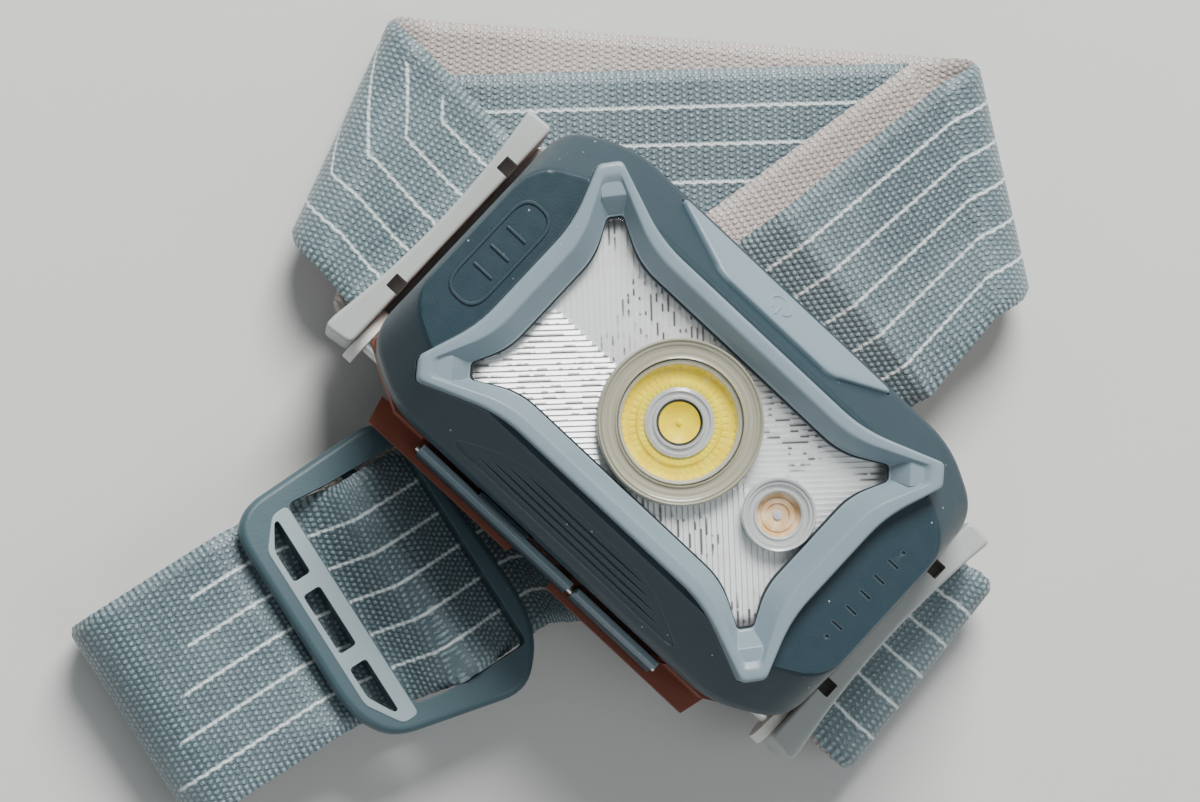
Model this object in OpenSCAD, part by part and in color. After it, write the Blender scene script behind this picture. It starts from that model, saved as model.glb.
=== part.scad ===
// Headlamp on an elastic headband, lying folded on a flat surface with its lens up.
// +Z is the way the beam goes, X runs along the lamp, and the origin is under the lamp's centre
// on the surface that the band rests on. Millimetres.

/* [Lamp] */
// Half length of the front cover
front_x = 30.3; // [29.5:0.1:30.8]
// Half width of the front cover
front_y = 18.9; // [18.6:0.1:19.2]
// Height of the seam between the rear shell and the front cover
seam_z = 20.6; // [20.4:0.1:20.8]
// Height of the cover's flat front
face_z = 34.8; // [34.4:0.1:35.4]
// Height where the side walls turn into the sloping facets
facet_z = 28.5; // [27.5:0.5:29.5]
// Half width of the flat front, where the facets start
facet_y = 13.2; // [13:0.1:13.6]
// Wall thickness of the shells
wall = 1.5; // [1.3:0.1:1.6]
// Height of the star-shaped bezel above the flat front
bezel_rise = 2; // [1.5:0.1:2.4]

/* [Optics] */
// Radius of the main optic
optic_r = 6.6; // [6:0.1:6.8]
// Outer radius of the ring round the main optic
optic_ring_r = 8.9; // [8.5:0.1:9]
// Distance from the lamp's centre to the small light
small_x = 14.3; // [14:0.1:15]
// Outer radius of the small optic
small_r = 3.95; // [3.5:0.05:4]

/* [Power] */
// Radius of an AAA cell
cell_r = 5.25; // [5:0.05:5.25]
// Length of an AAA cell
cell_len = 44.5; // [43.5:0.5:44.5]
// Distance from one cell's axis to the next
cell_pitch = 10.9; // [10.8:0.05:10.9]

/* [Joints] */
// Radius of the pins that the lamp tilts on
tilt_pin_r = 1.5; // [1.2:0.1:1.6]
// Radial clearance of the turning pins
pin_gap = 0.06; // [0.03:0.01:0.09]
// How far the power button goes in
button_travel = 0.6; // [0.3:0.1:0.6]

/* [Headband] */
// Thickness of the webbing
band_t = 1.2; // [1:0.1:1.2]
// Height from one layer of webbing to the next
band_pitch = 1.45; // [1.45:0.05:1.5]

/* [Hidden] */
$fn = 64;
button_gap = 0.15;
inf = 200;

rear_x = front_x - 0.5;
rear_y = front_y + 0.1;
rear_z = 10.5;
pivot_y = -14.8;
pivot_r = rear_y + pivot_y;
pivot_z = rear_z + pivot_r;
corner_dx = 7;
corner_dy = 3.8;

hinge_y = 18.3;
hinge_z = seam_z;
hinge_pin_r = 0.7;
knuckle_r = 1.6;
knuckle_relief_r = 2;

facet_angle = atan2(face_z - facet_z, front_y - facet_y);
facet_mid = [0, (front_y + facet_y) / 2, (face_z + facet_z) / 2];

lens_top_z = face_z - 0.4;
lens_plate_z = face_z - 3;
button_stem_z = -3;
switch_top_z = button_stem_z - button_travel - 0.2;

cell_z = rear_z + wall + 0.2 + cell_r;
tray_top_z = cell_z - 2;
board_z = 25;
led_board_z = 26.4;
optic_z = 28.6;
screw_x = 24.8;
screw_y = 9.5;

bracket_x = 31.3;
bracket_top_z = 19.6;
plate_z = 8.9;
slot_low_z = 7;
slot_half_y = 13.6;

latch_y = -19.9;
latch_z = 15.4;
strip_t = 1.1;
lip_y = 21.5;
lip_z = 12.8;
lip_t = 1.4;

// Middle height of the webbing in a layer, counted up from the surface.
function layer(k) = band_t / 2 + (k - 1) * band_pitch;

// ---- outlines ----

// A rectangle with its corners cut off at a slant.
module cut_rect(hx, hy, dx, dy) {
  polygon([
    [-hx, -hy + dy], [-hx + dx, -hy], [hx - dx, -hy], [hx, -hy + dy],
    [hx, hy - dy], [hx - dx, hy], [-hx + dx, hy], [-hx, hy - dy]
  ]);
}

// One quarter of the star frame, from its end side round the tip to its long side.
function star_quarter(end_x, end_y, tip_x, tip_y, tip_w, side_x, side_y) = [
  [end_x, end_y],
  [tip_x, tip_y - tip_w],
  [tip_x - tip_w * 0.8, tip_y],
  [side_x, side_y]
];

function turned(points) = [for (i = [len(points) - 1:-1:0]) points[i]];
function signed(points, sx, sy) = [for (p = points) [p[0] * sx, p[1] * sy]];

module star(quarter) {
  polygon(concat(
    quarter,
    turned(signed(quarter, -1, 1)),
    signed(quarter, -1, -1),
    turned(signed(quarter, 1, -1))
  ));
}

module star_outer(grow = 0) {
  star(star_quarter(22.6 + grow, 7.3, 24.8 + grow, 15.6 + grow, 1.5, 14.5, 12.5 + grow));
}

module star_window(grow = 0) {
  star(star_quarter(18.5 + grow, 6.6, 20.4 + grow, 11.9 + grow, 1.4, 14.6, 9.3 + grow));
}

module along_x(x0, x1, y, z, r) {
  translate([x0, y, z]) rotate([0, 90, 0]) cylinder(h = x1 - x0, r = r);
}

// Puts its children on the sloping +Y facet: local z is the facet's outward normal,
// and local y runs down the slope.
module on_facet() {
  translate(facet_mid) rotate([-facet_angle, 0, 0]) children();
}

// ---- rear half ----

// Cross-section of the rear shell, which is round about the tilting axis.
module rear_profile(inset) {
  difference() {
    union() {
      translate([pivot_y, rear_z + inset]) square([rear_y - pivot_y - inset, seam_z - rear_z]);
      translate([-rear_y + inset, pivot_z]) square([2 * rear_y - 2 * inset, seam_z - pivot_z + inset]);
      translate([pivot_y, pivot_z]) circle(r = pivot_r - inset);
    }
    translate([-inf / 2, seam_z - (inset > 0 ? -inset : 0)]) square(inf);
  }
}

module rear_block(inset) {
  intersection() {
    translate([0, 0, rear_z - 1]) linear_extrude(seam_z - rear_z + 4)
      cut_rect(rear_x - inset, rear_y - inset, corner_dx, corner_dy);
    rotate([90, 0, 90]) translate([0, 0, -inf / 4]) linear_extrude(inf / 2) rear_profile(inset);
  }
}

module knuckles(spans, low_z, high_z) {
  for (s = spans) {
    along_x(s[0], s[1], hinge_y, hinge_z, knuckle_r);
    translate([s[0], rear_y - 2.1, low_z]) cube([s[1] - s[0], 2, high_z - low_z]);
  }
}

rear_spans = [[-14, -6], [6, 14]];
front_spans = [[-22, -14.3], [-5.7, 5.7], [14.3, 22]];

module hinge_relief() {
  along_x(-24.6, 24.6, hinge_y, hinge_z, knuckle_relief_r);
}

module finger_lip(x0, x1) {
  translate([0, 0, lip_z]) linear_extrude(lip_t) polygon([
    [x0, 0.6 - rear_y], [x0 + 0.8, -lip_y], [x1 - 0.8, -lip_y], [x1, 0.6 - rear_y]
  ]);
}

module rear_shell() {
  color("sienna") difference() {
    union() {
      difference() {
        rear_block(0);
        rear_block(wall);
        hinge_relief();
        // recess for the latch and the lip on the -Y side
        translate([-18.6, -rear_y - 1, 13.8]) cube([36, 1.3, 10]);
      }
      knuckles(rear_spans, seam_z - 4, seam_z);
      // lip under the latch, open in the middle for a fingertip
      finger_lip(-25, -2.6);
      finger_lip(1.8, 23.6);
      for (side = [-1, 1]) {
        intersection() {
          along_x(side * 28 - 1.2, side * 28 + 1.2, pivot_y, pivot_z, 3);
          rear_block(0.4);
        }
      }
    }
    along_x(-inf / 2, inf / 2, hinge_y, hinge_z, hinge_pin_r);
    along_x(-inf / 2, inf / 2, pivot_y, pivot_z, tilt_pin_r + pin_gap);
  }
}

module battery_tray() {
  color("dimgray") difference() {
    translate([-22.4, -16.6, rear_z + wall]) cube([44.8, 33.2, tray_top_z - rear_z - wall]);
    for (i = [-1:1]) along_x(-inf / 2, inf / 2, i * cell_pitch, cell_z, cell_r + 0.2);
    translate([-inf / 2, pivot_y - 4, 0]) cube([inf, 4, inf]);
  }
}

module cell(i) {
  flip = i == 0 ? -1 : 1;
  color("goldenrod") scale([flip, 1, 1]) {
    along_x(-cell_len / 2, cell_len / 2 - 1, i * cell_pitch, cell_z, cell_r);
    along_x(cell_len / 2 - 1, cell_len / 2, i * cell_pitch, cell_z, 1.9);
  }
}

module battery_1() { cell(-1); }
module battery_2() { cell(0); }
module battery_3() { cell(1); }

// Conical springs press on the flat ends of the cells.
module spring_contacts() {
  color("silver") for (i = [-1:1]) {
    side = i == 0 ? 1 : -1;
    translate([side * cell_len / 2, i * cell_pitch, cell_z]) rotate([0, side * 90, 0])
      rotate_extrude() polygon([[1.5, 0.1], [2.1, 0.1], [3.2, 3.2], [2.6, 3.2]]);
  }
}

// Plates at both ends join the cells in series and carry the springs.
module contact_plates() {
  color("gainsboro") {
    for (i = [-1:1]) {
      side = i == 0 ? 1 : -1;
      for (x = [side * (cell_len / 2 + 3.5), -side * (cell_len / 2 + 1.2)])
        translate([x - 0.25, i * cell_pitch - 3.3, cell_z - 4.2]) cube([0.5, 6.6, 6.1]);
    }
  }
}

module case_gasket() {
  color("black") translate([0, 0, seam_z - 1]) linear_extrude(0.9) difference() {
    cut_rect(27.9, 16.4, 5.5, 3);
    cut_rect(27.2, 15.9, 5.5, 3);
  }
}

module hinge_pin() {
  color("silver") along_x(-22, 22, hinge_y, hinge_z, hinge_pin_r);
}

module strip(x0, x1) {
  translate([x0, latch_y - strip_t / 2, latch_z]) cube([x1 - x0, strip_t, 4.9]);
}

module case_latch() {
  color("lightslategray") difference() {
    union() {
      strip(-18, 4.2);
      along_x(-18, 4.2, latch_y, latch_z, 0.9);
      // lug that stands in the open notch of the front cover
      translate([-10, latch_y, latch_z + 4]) cube([7, 1, 3]);
    }
    along_x(-inf / 2, inf / 2, latch_y, latch_z, 0.45 + 0.05);
  }
}

module latch_pin() {
  color("silver") along_x(-18.4, 17.3, latch_y, latch_z, 0.45);
}

module fixed_lip() {
  color("lightslategray") difference() {
    union() {
      strip(4.9, 16.9);
      along_x(4.9, 16.9, latch_y, latch_z, 0.9);
    }
    along_x(-inf / 2, inf / 2, latch_y, latch_z, 0.45);
  }
}

// ---- front half ----

module front_form(inset) {
  low = seam_z + (inset > 0 ? -1 : 0.15);
  hull() {
    translate([0, 0, low]) linear_extrude(facet_z - low - inset * 0.4)
      cut_rect(front_x - inset, front_y - inset, corner_dx, corner_dy);
    translate([0, 0, face_z - 1 - inset]) linear_extrude(1)
      cut_rect(front_x - 1.3 - inset, facet_y - inset * 0.4, corner_dx, corner_dy);
  }
}

module front_cover() {
  color("darkslategray") difference() {
    union() {
      difference() {
        front_form(0);
        front_form(wall);
        hinge_relief();
        translate([0, 0, face_z - 5]) linear_extrude(10) star_outer(0.05);
        on_facet() translate([0, 0, -4]) linear_extrude(8) button_outline(button_gap);
        // open notch for the latch's lug
        translate([-10.5, -front_y - 1, seam_z - 1]) cube([8, 2.2, 3.6]);
      }
      knuckles(front_spans, seam_z, seam_z + 4);
    }
    along_x(-inf / 2, inf / 2, hinge_y, hinge_z, hinge_pin_r + pin_gap);
  }
}

module star_bezel() {
  color("lightsteelblue") difference() {
    translate([0, 0, face_z - 1.6]) linear_extrude(1.6 + bezel_rise) star_outer();
    translate([0, 0, face_z - 5]) linear_extrude(10) star_window();
  }
}

module optic_holes(grow) {
  translate([0, 0, -inf / 2]) cylinder(h = inf, r = optic_ring_r + grow);
  translate([small_x, 0, -inf / 2]) cylinder(h = inf, r = small_r + grow);
}

module lens() {
  color("whitesmoke", 0.6) difference() {
    union() {
      translate([0, 0, lens_plate_z]) linear_extrude(1.3)
        cut_rect(22, 11.6, 3, 3);
      translate([0, 0, lens_plate_z + 1.3]) linear_extrude(lens_top_z - lens_plate_z - 1.3)
        star_window(-0.1);
    }
    optic_holes(0.1);
  }
}

module reflector() {
  color("silver") difference() {
    translate([0, 0, optic_z + 0.2]) linear_extrude(lens_plate_z - optic_z - 0.5)
      cut_rect(21.5, 10.6, 3, 3);
    translate([0, 0, optic_z + 1.4]) linear_extrude(10) cut_rect(20.3, 9.4, 3, 3);
    optic_holes(0.1);
  }
}

module optic_ring() {
  color("tan") translate([0, 0, optic_z + 0.3]) difference() {
    cylinder(h = face_z + 0.6 - optic_z - 0.3, r = optic_ring_r);
    translate([0, 0, -1]) cylinder(h = 20, r = optic_r + 0.1);
  }
}

module main_optic() {
  color("khaki", 0.7) difference() {
    translate([0, 0, optic_z]) rotate_extrude() polygon([
      [0, 0.6], [1.6, 0.6], [2.6, 0], [optic_r, 3.4],
      [optic_r, face_z + 0.3 - optic_z], [0, face_z + 0.3 - optic_z]
    ]);
    translate([0, 0, face_z - 2.2]) cylinder(h = 4, r = 2.6);
  }
}

module main_led() {
  color("gold") translate([0, 0, led_board_z + 1.2]) difference() {
    cylinder(h = 1.3, r = 1.7);
    translate([0, 0, 1]) cylinder(h = 2, r = 1.2);
  }
}

module small_optic() {
  color("whitesmoke", 0.6) translate([small_x, 0, optic_z]) rotate_extrude()
    polygon([[0, 1.2], [2.2, 0], [small_r, 2.5], [small_r, 6.4], [2.4, 6.4], [1.9, 5.2], [0, 5.2]]);
}

module small_led() {
  color("peachpuff") translate([small_x, 0, led_board_z + 1.2]) difference() {
    translate([-1.3, -1.3, 0]) cube([2.6, 2.6, 0.9]);
    translate([0, 0, 0.6]) cylinder(h = 1, r = 0.9);
  }
}

module led_board() {
  color("white") translate([-9, -8, led_board_z]) cube([27, 16, 1.2]);
}

module circuit_board() {
  color("darkgreen") translate([0, 0, board_z]) linear_extrude(1.2) cut_rect(22.6, 13, 3, 3);
}

// Frame that closes the electronics off from the cells and holds the boards.
module inner_carrier() {
  color("gray") difference() {
    translate([0, 0, seam_z + 2.6]) linear_extrude(1.6) cut_rect(27.6, 15.6, corner_dx, corner_dy);
    translate([0, 0, seam_z + 3.6]) linear_extrude(4) cut_rect(22, 11, 3, 3);
    for (sx = [-1, 1], sy = [-1, 1]) translate([sx * screw_x, sy * screw_y, 0]) cylinder(h = inf, r = 0.9);
  }
}

module carrier_screws() {
  color("silver") for (sx = [-1, 1], sy = [-1, 1]) translate([sx * screw_x, sy * screw_y, 0]) {
    translate([0, 0, seam_z + 2.6]) cylinder(h = 4.4, r = 0.9);
    translate([0, 0, seam_z + 1.6]) cylinder(h = 1, r = 1.7);
  }
}

// ---- power button ----

module button_outline(grow) {
  polygon([
    [-16.2 - grow * 2, 3.2 + grow], [15 + grow * 2, 3.2 + grow],
    [8.4 + grow, -2.3 - grow], [-7.4 - grow, -2.3 - grow]
  ]);
}

module power_button() {
  color("lightsteelblue") on_facet() {
    translate([0, 0, -0.9]) linear_extrude(1.4) button_outline(0);
    translate([-0.4, 0.4, button_stem_z]) cylinder(h = 2.2, r = 1.3);
  }
}

module button_seal() {
  color("dimgray") on_facet() difference() {
    translate([-7.4, -2.9, -2.6]) cube([15.4, 6.3, 0.7]);
    translate([-0.4, 0.4, -5]) cylinder(h = 10, r = 1.5);
  }
}

module tactile_switch() {
  color("black") on_facet() {
    translate([-2.6, -1.4, switch_top_z - 1.8]) cube([4.4, 2.8, 1.2]);
    translate([-0.4, 0.2, switch_top_z - 0.6]) cylinder(h = 0.6, r = 0.9);
  }
}

// ---- bracket ----

module end_wall() {
  difference() {
    translate([0, 0, slot_low_z - 1.5]) linear_extrude(bracket_top_z - slot_low_z + 1.5) polygon([
      [bracket_x, -17], [bracket_x + 3.6, -17.6], [bracket_x + 2.6, -9], [bracket_x + 2.2, 0],
      [bracket_x + 2.6, 9], [bracket_x + 3.6, 15], [bracket_x, 15.6]
    ]);
    translate([bracket_x - 1, -slot_half_y, slot_low_z]) cube([10, 2 * slot_half_y, plate_z - slot_low_z]);
    for (y = [-9.6, 8]) translate([bracket_x - 1, y, bracket_top_z - 3]) cube([2.6, 1.8, 10]);
    along_x(0, inf, pivot_y, pivot_z, tilt_pin_r);
  }
}

module tilt_bracket() {
  color("lightgray") {
    for (side = [0, 1]) mirror([side, 0, 0]) end_wall();
    translate([-bracket_x - 0.5, -16, plate_z]) cube([2 * bracket_x + 1, 30.5, 1.3]);
  }
}

module tilt_pins() {
  color("silver") for (side = [0, 1]) mirror([side, 0, 0])
    along_x(27.2, bracket_x + 2.6, pivot_y, pivot_z, tilt_pin_r);
}

module friction_washers() {
  color("white") for (side = [0, 1]) mirror([side, 0, 0]) difference() {
    along_x(rear_x + 0.2, bracket_x - 0.05, pivot_y, pivot_z, 3.4);
    along_x(0, inf, pivot_y, pivot_z, tilt_pin_r + 0.03);
  }
}

// ---- webbing ----

// A rung crosses the webbing from one selvedge to the other: [selvedge a, selvedge b].
function flat_rung(a, b, z) = [[a[0], a[1], z], [b[0], b[1], z]];

// Rungs round a fold: the webbing leaves the rung a-b, goes outward along out and turns over
// through a half circle of radius r, up or down. drift slides it along the fold by the end.
function fold_rungs(a, b, z, out, r, up, drift, steps = 8) = [
  for (i = [0:steps])
    let (t = i / steps, q = 180 * t, rise = up * r * (1 - cos(q)))
    flat_rung(a + out * r * sin(q) + drift * t, b + out * r * sin(q) + drift * t, z + rise)
];

// Point on the slider's own grid: s along the strap towards the lamp, w across it.
slider_c = [-9.6, -32.7];
slider_s = [0.25, 0.968];
slider_w = [0.968, -0.25];
function slider_point(s, w) = slider_c + slider_s * s + slider_w * w;
function slider_rung(s, z, mid = 0) = flat_rung(slider_point(s, mid + 13), slider_point(s, mid - 13), z);

f3_a = slider_point(-27.5, 10.6);
f3_b = slider_point(-27.5, -15.4);
f3_r = 4.9;

band_rungs = concat(
  // behind the lamp, through the bracket's slots, and out on the -X side
  [flat_rung([36, -13], [36, 13], layer(6) + 0.05)],
  [flat_rung([-36, -13], [-36, 13], layer(6) + 0.05)],
  fold_rungs([-39.4, -12.6], [-48.1, 13.4], 9.4, [-0.948, -0.318], 4.4, -1, [-1.5, 4.4]),
  // long run on the surface to the far fold, and back to the lamp
  fold_rungs([15.8, 37.9], [-6.5, 53.2], layer(1), [0.566, 0.824], 4.5, 1, [3.4, -2.3]),
  [
    flat_rung([19.9, 24], [-6.6, 27.5], 8.4),
    flat_rung([18.4, 19], [-8.2, 20], layer(4)),
    flat_rung([16, 15.3], [-10.2, 5.6], layer(4)),
    flat_rung([14, 8.2], [-12.4, -2.6], layer(2)),
    flat_rung([9, -20], [-16.5, -13.5], layer(2))
  ],
  // threaded through the slider
  [
    slider_rung(12.6, 2.5), slider_rung(9.5, 4.1), slider_rung(6.2, 6.9),
    slider_rung(4, 9.6), slider_rung(2.5, 10.3), slider_rung(1, 10.2),
    slider_rung(-1.2, 8.8, -0.4), slider_rung(-4, 7.7, -1), slider_rung(-8, 7.9, -1.6),
    slider_rung(-11.5, 8.9, -2.2), slider_rung(-15, 10, -2.4)
  ],
  fold_rungs(f3_a, f3_b, layer(1) + 2 * f3_r, -slider_s, f3_r, -1, [0, 0], 10),
  // lowest run, under the slider and the lamp
  [
    flat_rung([9.8, 6.5], [-18.2, -5], layer(1)),
    flat_rung([11.2, 13.5], [-16, 3.5], layer(3))
  ],
  fold_rungs([16.9, 37.5], [-7.3, 50.2], layer(3), [0.466, 0.885], band_pitch / 2, -1, [-0.6, 0.3], 6),
  // back behind the lamp and over to the bracket's other slot
  fold_rungs([-35.2, -13.6], [-45.4, 13], layer(2), [-0.934, -0.358], band_pitch / 2, 1, [0.4, -0.9], 6),
  [
    flat_rung([-27, -14.6], [-27, 11.6], layer(3)),
    flat_rung([-20.5, -14.6], [-20.5, 11.5], layer(5)),
    flat_rung([20.5, -13.6], [20.5, 12.6], layer(5)),
    flat_rung([27, -13.4], [27, 12.8], layer(3))
  ],
  fold_rungs([39.2, -13.2], [37.2, 13.4], layer(3), [0.997, 0.075], 2.2, 1, [0, 0])
);

function unit(v) = v / norm(v);
function rung_mid(r) = (r[0] + r[1]) / 2;

// Side of the webbing at rung i: the normal of its outer face.
function rung_normal(rungs, i, closed) =
  let (n = len(rungs),
       before = rungs[closed ? (i + n - 1) % n : max(i - 1, 0)],
       after = rungs[closed ? (i + 1) % n : min(i + 1, n - 1)])
  unit(cross(rungs[i][1] - rungs[i][0], rung_mid(after) - rung_mid(before)));

module webbing(rungs, closed) {
  n = len(rungs);
  h = band_t / 2;
  points = [for (i = [0:n - 1]) let (u = rung_normal(rungs, i, closed) * h, r = rungs[i])
    each [r[0] - u, r[1] - u, r[1] + u, r[0] + u]];
  bays = closed ? n : n - 1;
  sides = [for (i = [0:bays - 1], k = [0:3])
    let (a = 4 * i, b = 4 * ((i + 1) % n), m = (k + 1) % 4)
    each [[a + k, a + m, b + m], [a + k, b + m, b + k]]];
  ends = closed ? [] : [[3, 2, 1, 0], [4 * n - 4, 4 * n - 3, 4 * n - 2, 4 * n - 1]];
  polyhedron(points, concat(sides, ends), convexity = 10);
}

module headband() {
  color("cadetblue") webbing(band_rungs, true);
}

// End of the webbing, turned round the slider's middle bar and sewn under the top run.
module strap_tail() {
  color("cadetblue") webbing([
    slider_rung(3.2, 6.3), slider_rung(0.4, 6.4, -0.2), slider_rung(-4, 6.2, -1),
    slider_rung(-8, 6.4, -1.6), slider_rung(-11.5, 7.4, -2.2), slider_rung(-15, 8.5, -2.4),
    slider_rung(-23, 8.8, -2.4)
  ], false);
}

// ---- slider ----

slider_z = 8.8;
slider_pitch = 13;

module in_slider() {
  translate([slider_c[0], slider_c[1], slider_z])
    rotate([0, 0, -14.5]) rotate([-slider_pitch, 0, 0]) children();
}

module slider_outline() {
  polygon([
    [-16.4, -8.6], [-14.2, -11.2], [9.4, -11.2], [14, -8.6],
    [17.8, 6.4], [13.6, 10.4], [8.8, 11.6], [-14.2, 10.4], [-17, 7.4]
  ]);
}

module slider() {
  color("slategray") in_slider() {
    difference() {
      translate([0, 0, -1]) linear_extrude(2.2) slider_outline();
      // window for the strap
      translate([-14.1, -3.6, -5]) cube([27.9, 12.8, 10]);
      // three small slots between the outer bar and the crossbar
      for (s = [[-13, -6.4], [-4.6, 3], [5, 11.6]])
        translate([s[0], -7.4, -5]) cube([s[1] - s[0], 2, 10]);
    }
    // middle bar
    translate([-14.5, 1.7, -1]) cube([28.7, 1.8, 1.8]);
  }
}

headband();
strap_tail();
slider();
tilt_bracket();
tilt_pins();
friction_washers();
rear_shell();
battery_tray();
battery_1();
battery_2();
battery_3();
spring_contacts();
contact_plates();
case_gasket();
hinge_pin();
latch_pin();
fixed_lip();
case_latch();
front_cover();
star_bezel();
lens();
reflector();
optic_ring();
main_optic();
main_led();
small_optic();
small_led();
led_board();
circuit_board();
inner_carrier();
carrier_screws();
power_button();
button_seal();
tactile_switch();
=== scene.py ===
"""Looks of the headlamp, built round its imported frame. Helpers take millimetres in the frame."""

import math

import bpy
import numpy as np
from mathutils import Matrix, Vector


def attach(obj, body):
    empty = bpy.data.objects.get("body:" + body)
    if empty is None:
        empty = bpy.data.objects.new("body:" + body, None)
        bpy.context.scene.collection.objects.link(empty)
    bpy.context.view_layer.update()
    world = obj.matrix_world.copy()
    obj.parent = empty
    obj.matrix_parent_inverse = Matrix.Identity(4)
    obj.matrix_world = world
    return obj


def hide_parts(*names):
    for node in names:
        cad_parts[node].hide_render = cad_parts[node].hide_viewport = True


MM = 0.001
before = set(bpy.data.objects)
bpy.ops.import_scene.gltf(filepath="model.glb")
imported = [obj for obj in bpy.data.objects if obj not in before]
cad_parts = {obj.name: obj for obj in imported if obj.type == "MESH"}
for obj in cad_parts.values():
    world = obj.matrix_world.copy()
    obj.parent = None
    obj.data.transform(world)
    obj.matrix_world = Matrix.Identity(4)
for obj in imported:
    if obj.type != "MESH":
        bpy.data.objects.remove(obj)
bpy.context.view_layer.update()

# ---- driving sizes, in millimetres, as in the part ----
FRONT_X, FRONT_Y = 30.3, 18.9
SEAM_Z, FACE_Z, FACET_Z, FACET_Y = 20.6, 34.8, 28.5, 13.2
WALL = 1.5
BEZEL_TOP = FACE_Z + 2
LENS_TOP = FACE_Z - 0.4
HINGE = (18.3, SEAM_Z)
SMALL_X = 14.3
CELL_PITCH, CELL_Z = 10.9, 17.45
BAND_T, BAND_PITCH, BAND_HALF = 1.2, 1.45, 13.0
FACET_ANGLE = math.atan2(FACE_Z - FACET_Z, FRONT_Y - FACET_Y)
FACET_MID = (0, (FRONT_Y + FACET_Y) / 2, (FACE_Z + FACET_Z) / 2)
FACET = Matrix.Translation(FACET_MID) @ Matrix.Rotation(-FACET_ANGLE, 4, "X")
FAR_FACET = Matrix.Rotation(math.pi, 4, "Z") @ FACET
# the slider's middle seen from above, its way along the webbing (S) and its way across (W)
SLIDER_C = np.array([-9.6, -32.7])
SLIDER_S = np.array([0.25, 0.968])
SLIDER_W = np.array([SLIDER_S[1], -SLIDER_S[0]])
SLIDER = (
    Matrix.Translation((*SLIDER_C, 8.8))
    @ Matrix.Rotation(math.radians(-14.5), 4, "Z")
    @ Matrix.Rotation(math.radians(-13), 4, "X")
)


def srgb(r, g, b):
    """A colour given as it shows on a screen, from 0 to 255."""
    def linear(v):
        v = v / 255
        return ((v + 0.055) / 1.055) ** 2.4 if v > 0.04045 else v / 12.92
    return (linear(r), linear(g), linear(b), 1.0)


# ---- materials ----

MATERIALS = {}
# how far in from an edge its paler wear reaches
EDGE_REACH = 0.25


class Value:
    """A node's output that can be reckoned with like a number."""

    def __init__(self, paint, socket):
        self.paint, self.socket = paint, socket

    def __abs__(self):
        return self.paint.math("ABSOLUTE", self)

    def __add__(self, other):
        return self.paint.math("ADD", self, other)

    def __sub__(self, other):
        return self.paint.math("SUBTRACT", self, other)

    def __rsub__(self, other):
        return self.paint.math("SUBTRACT", other, self)

    def __mul__(self, other):
        return self.paint.math("MULTIPLY", self, other)

    def __truediv__(self, other):
        return self.paint.math("DIVIDE", self, other)

    def __mod__(self, other):
        return self.paint.math("MODULO", self, other)


class Paint:
    """A material, with short calls for the nodes that these finishes use."""

    def __init__(self, name, colour, roughness=0.5, **sockets):
        MATERIALS[name] = bpy.data.materials.new(name)
        MATERIALS[name].use_nodes = True
        self.tree = MATERIALS[name].node_tree
        self.shader = self.tree.nodes["Principled BSDF"]
        self.colour(colour)
        self.set(self.shader, "Roughness", roughness)
        for key, value in sockets.items():
            self.set(self.shader, key.replace("_", " "), value)

    def set(self, node, socket, value):
        if isinstance(value, Value):
            self.tree.links.new(value.socket, node.inputs[socket])
        else:
            node.inputs[socket].default_value = value

    def add(self, kind, values=None, **settings):
        made = self.tree.nodes.new("ShaderNode" + kind)
        for key, value in settings.items():
            setattr(made, key, value)
        for key, value in (values or {}).items():
            self.set(made, key, value)
        return made

    def node(self, kind, values=None, output=0, **settings):
        """The value that a new node gives out."""
        return Value(self, self.add(kind, values, **settings).outputs[output])

    def math(self, operation, a, b=0.0):
        return self.node("Math", {0: a, 1: b}, operation=operation)

    def step(self, value, low, high):
        """0 below low and 1 above high, smoothly."""
        values = {"Value": value, "From Min": low, "From Max": high}
        return self.node("MapRange", values, interpolation_type="SMOOTHSTEP")

    def mix(self, share, a, b):
        return self.node("Mix", {0: share, 6: a, 7: b}, 2, data_type="RGBA")

    def place(self):
        return self.node("TexCoord", output="Object")

    def split(self, vector):
        return [Value(self, part) for part in self.add("SeparateXYZ", {0: vector}).outputs]

    def noise(self, scale, detail=2.0, vector=None, stretch=None):
        vector = vector or self.place()
        if stretch:
            vector = self.node("Mapping", {"Vector": vector, "Scale": stretch})
        return self.node("TexNoise", {"Vector": vector, "Scale": scale, "Detail": detail}, "Fac")

    def specks(self, scale, size):
        """1 in small round spots that are scattered over the surface."""
        cell = self.add("TexVoronoi", {"Vector": self.place(), "Scale": scale})
        chosen = self.step(self.split(Value(self, cell.outputs["Color"]))[0], 0.8, 0.86)
        return self.step(Value(self, cell.outputs["Distance"]), size, size * 0.5) * chosen

    def edges(self):
        """1 along the piece's edges and 0 on its faces."""
        values = {
            0: self.node("Bevel", {"Radius": EDGE_REACH * MM}, samples=4),
            1: self.node("NewGeometry", output="Normal"),
        }
        agreement = self.node("VectorMath", values, "Value", operation="DOT_PRODUCT")
        return self.step(agreement, 0.985, 0.86)

    def bump(self, height, depth):
        """Relief of that depth in millimetres."""
        values = {"Height": height, "Distance": depth * MM, "Strength": 1.0}
        self.set(self.shader, "Normal", self.node("Bump", values))

    def colour(self, value):
        self.set(self.shader, "Base Color", value)


def shade(colour, by):
    return tuple(min(1, c * by) for c in colour[:3]) + (1.0,)


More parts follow.
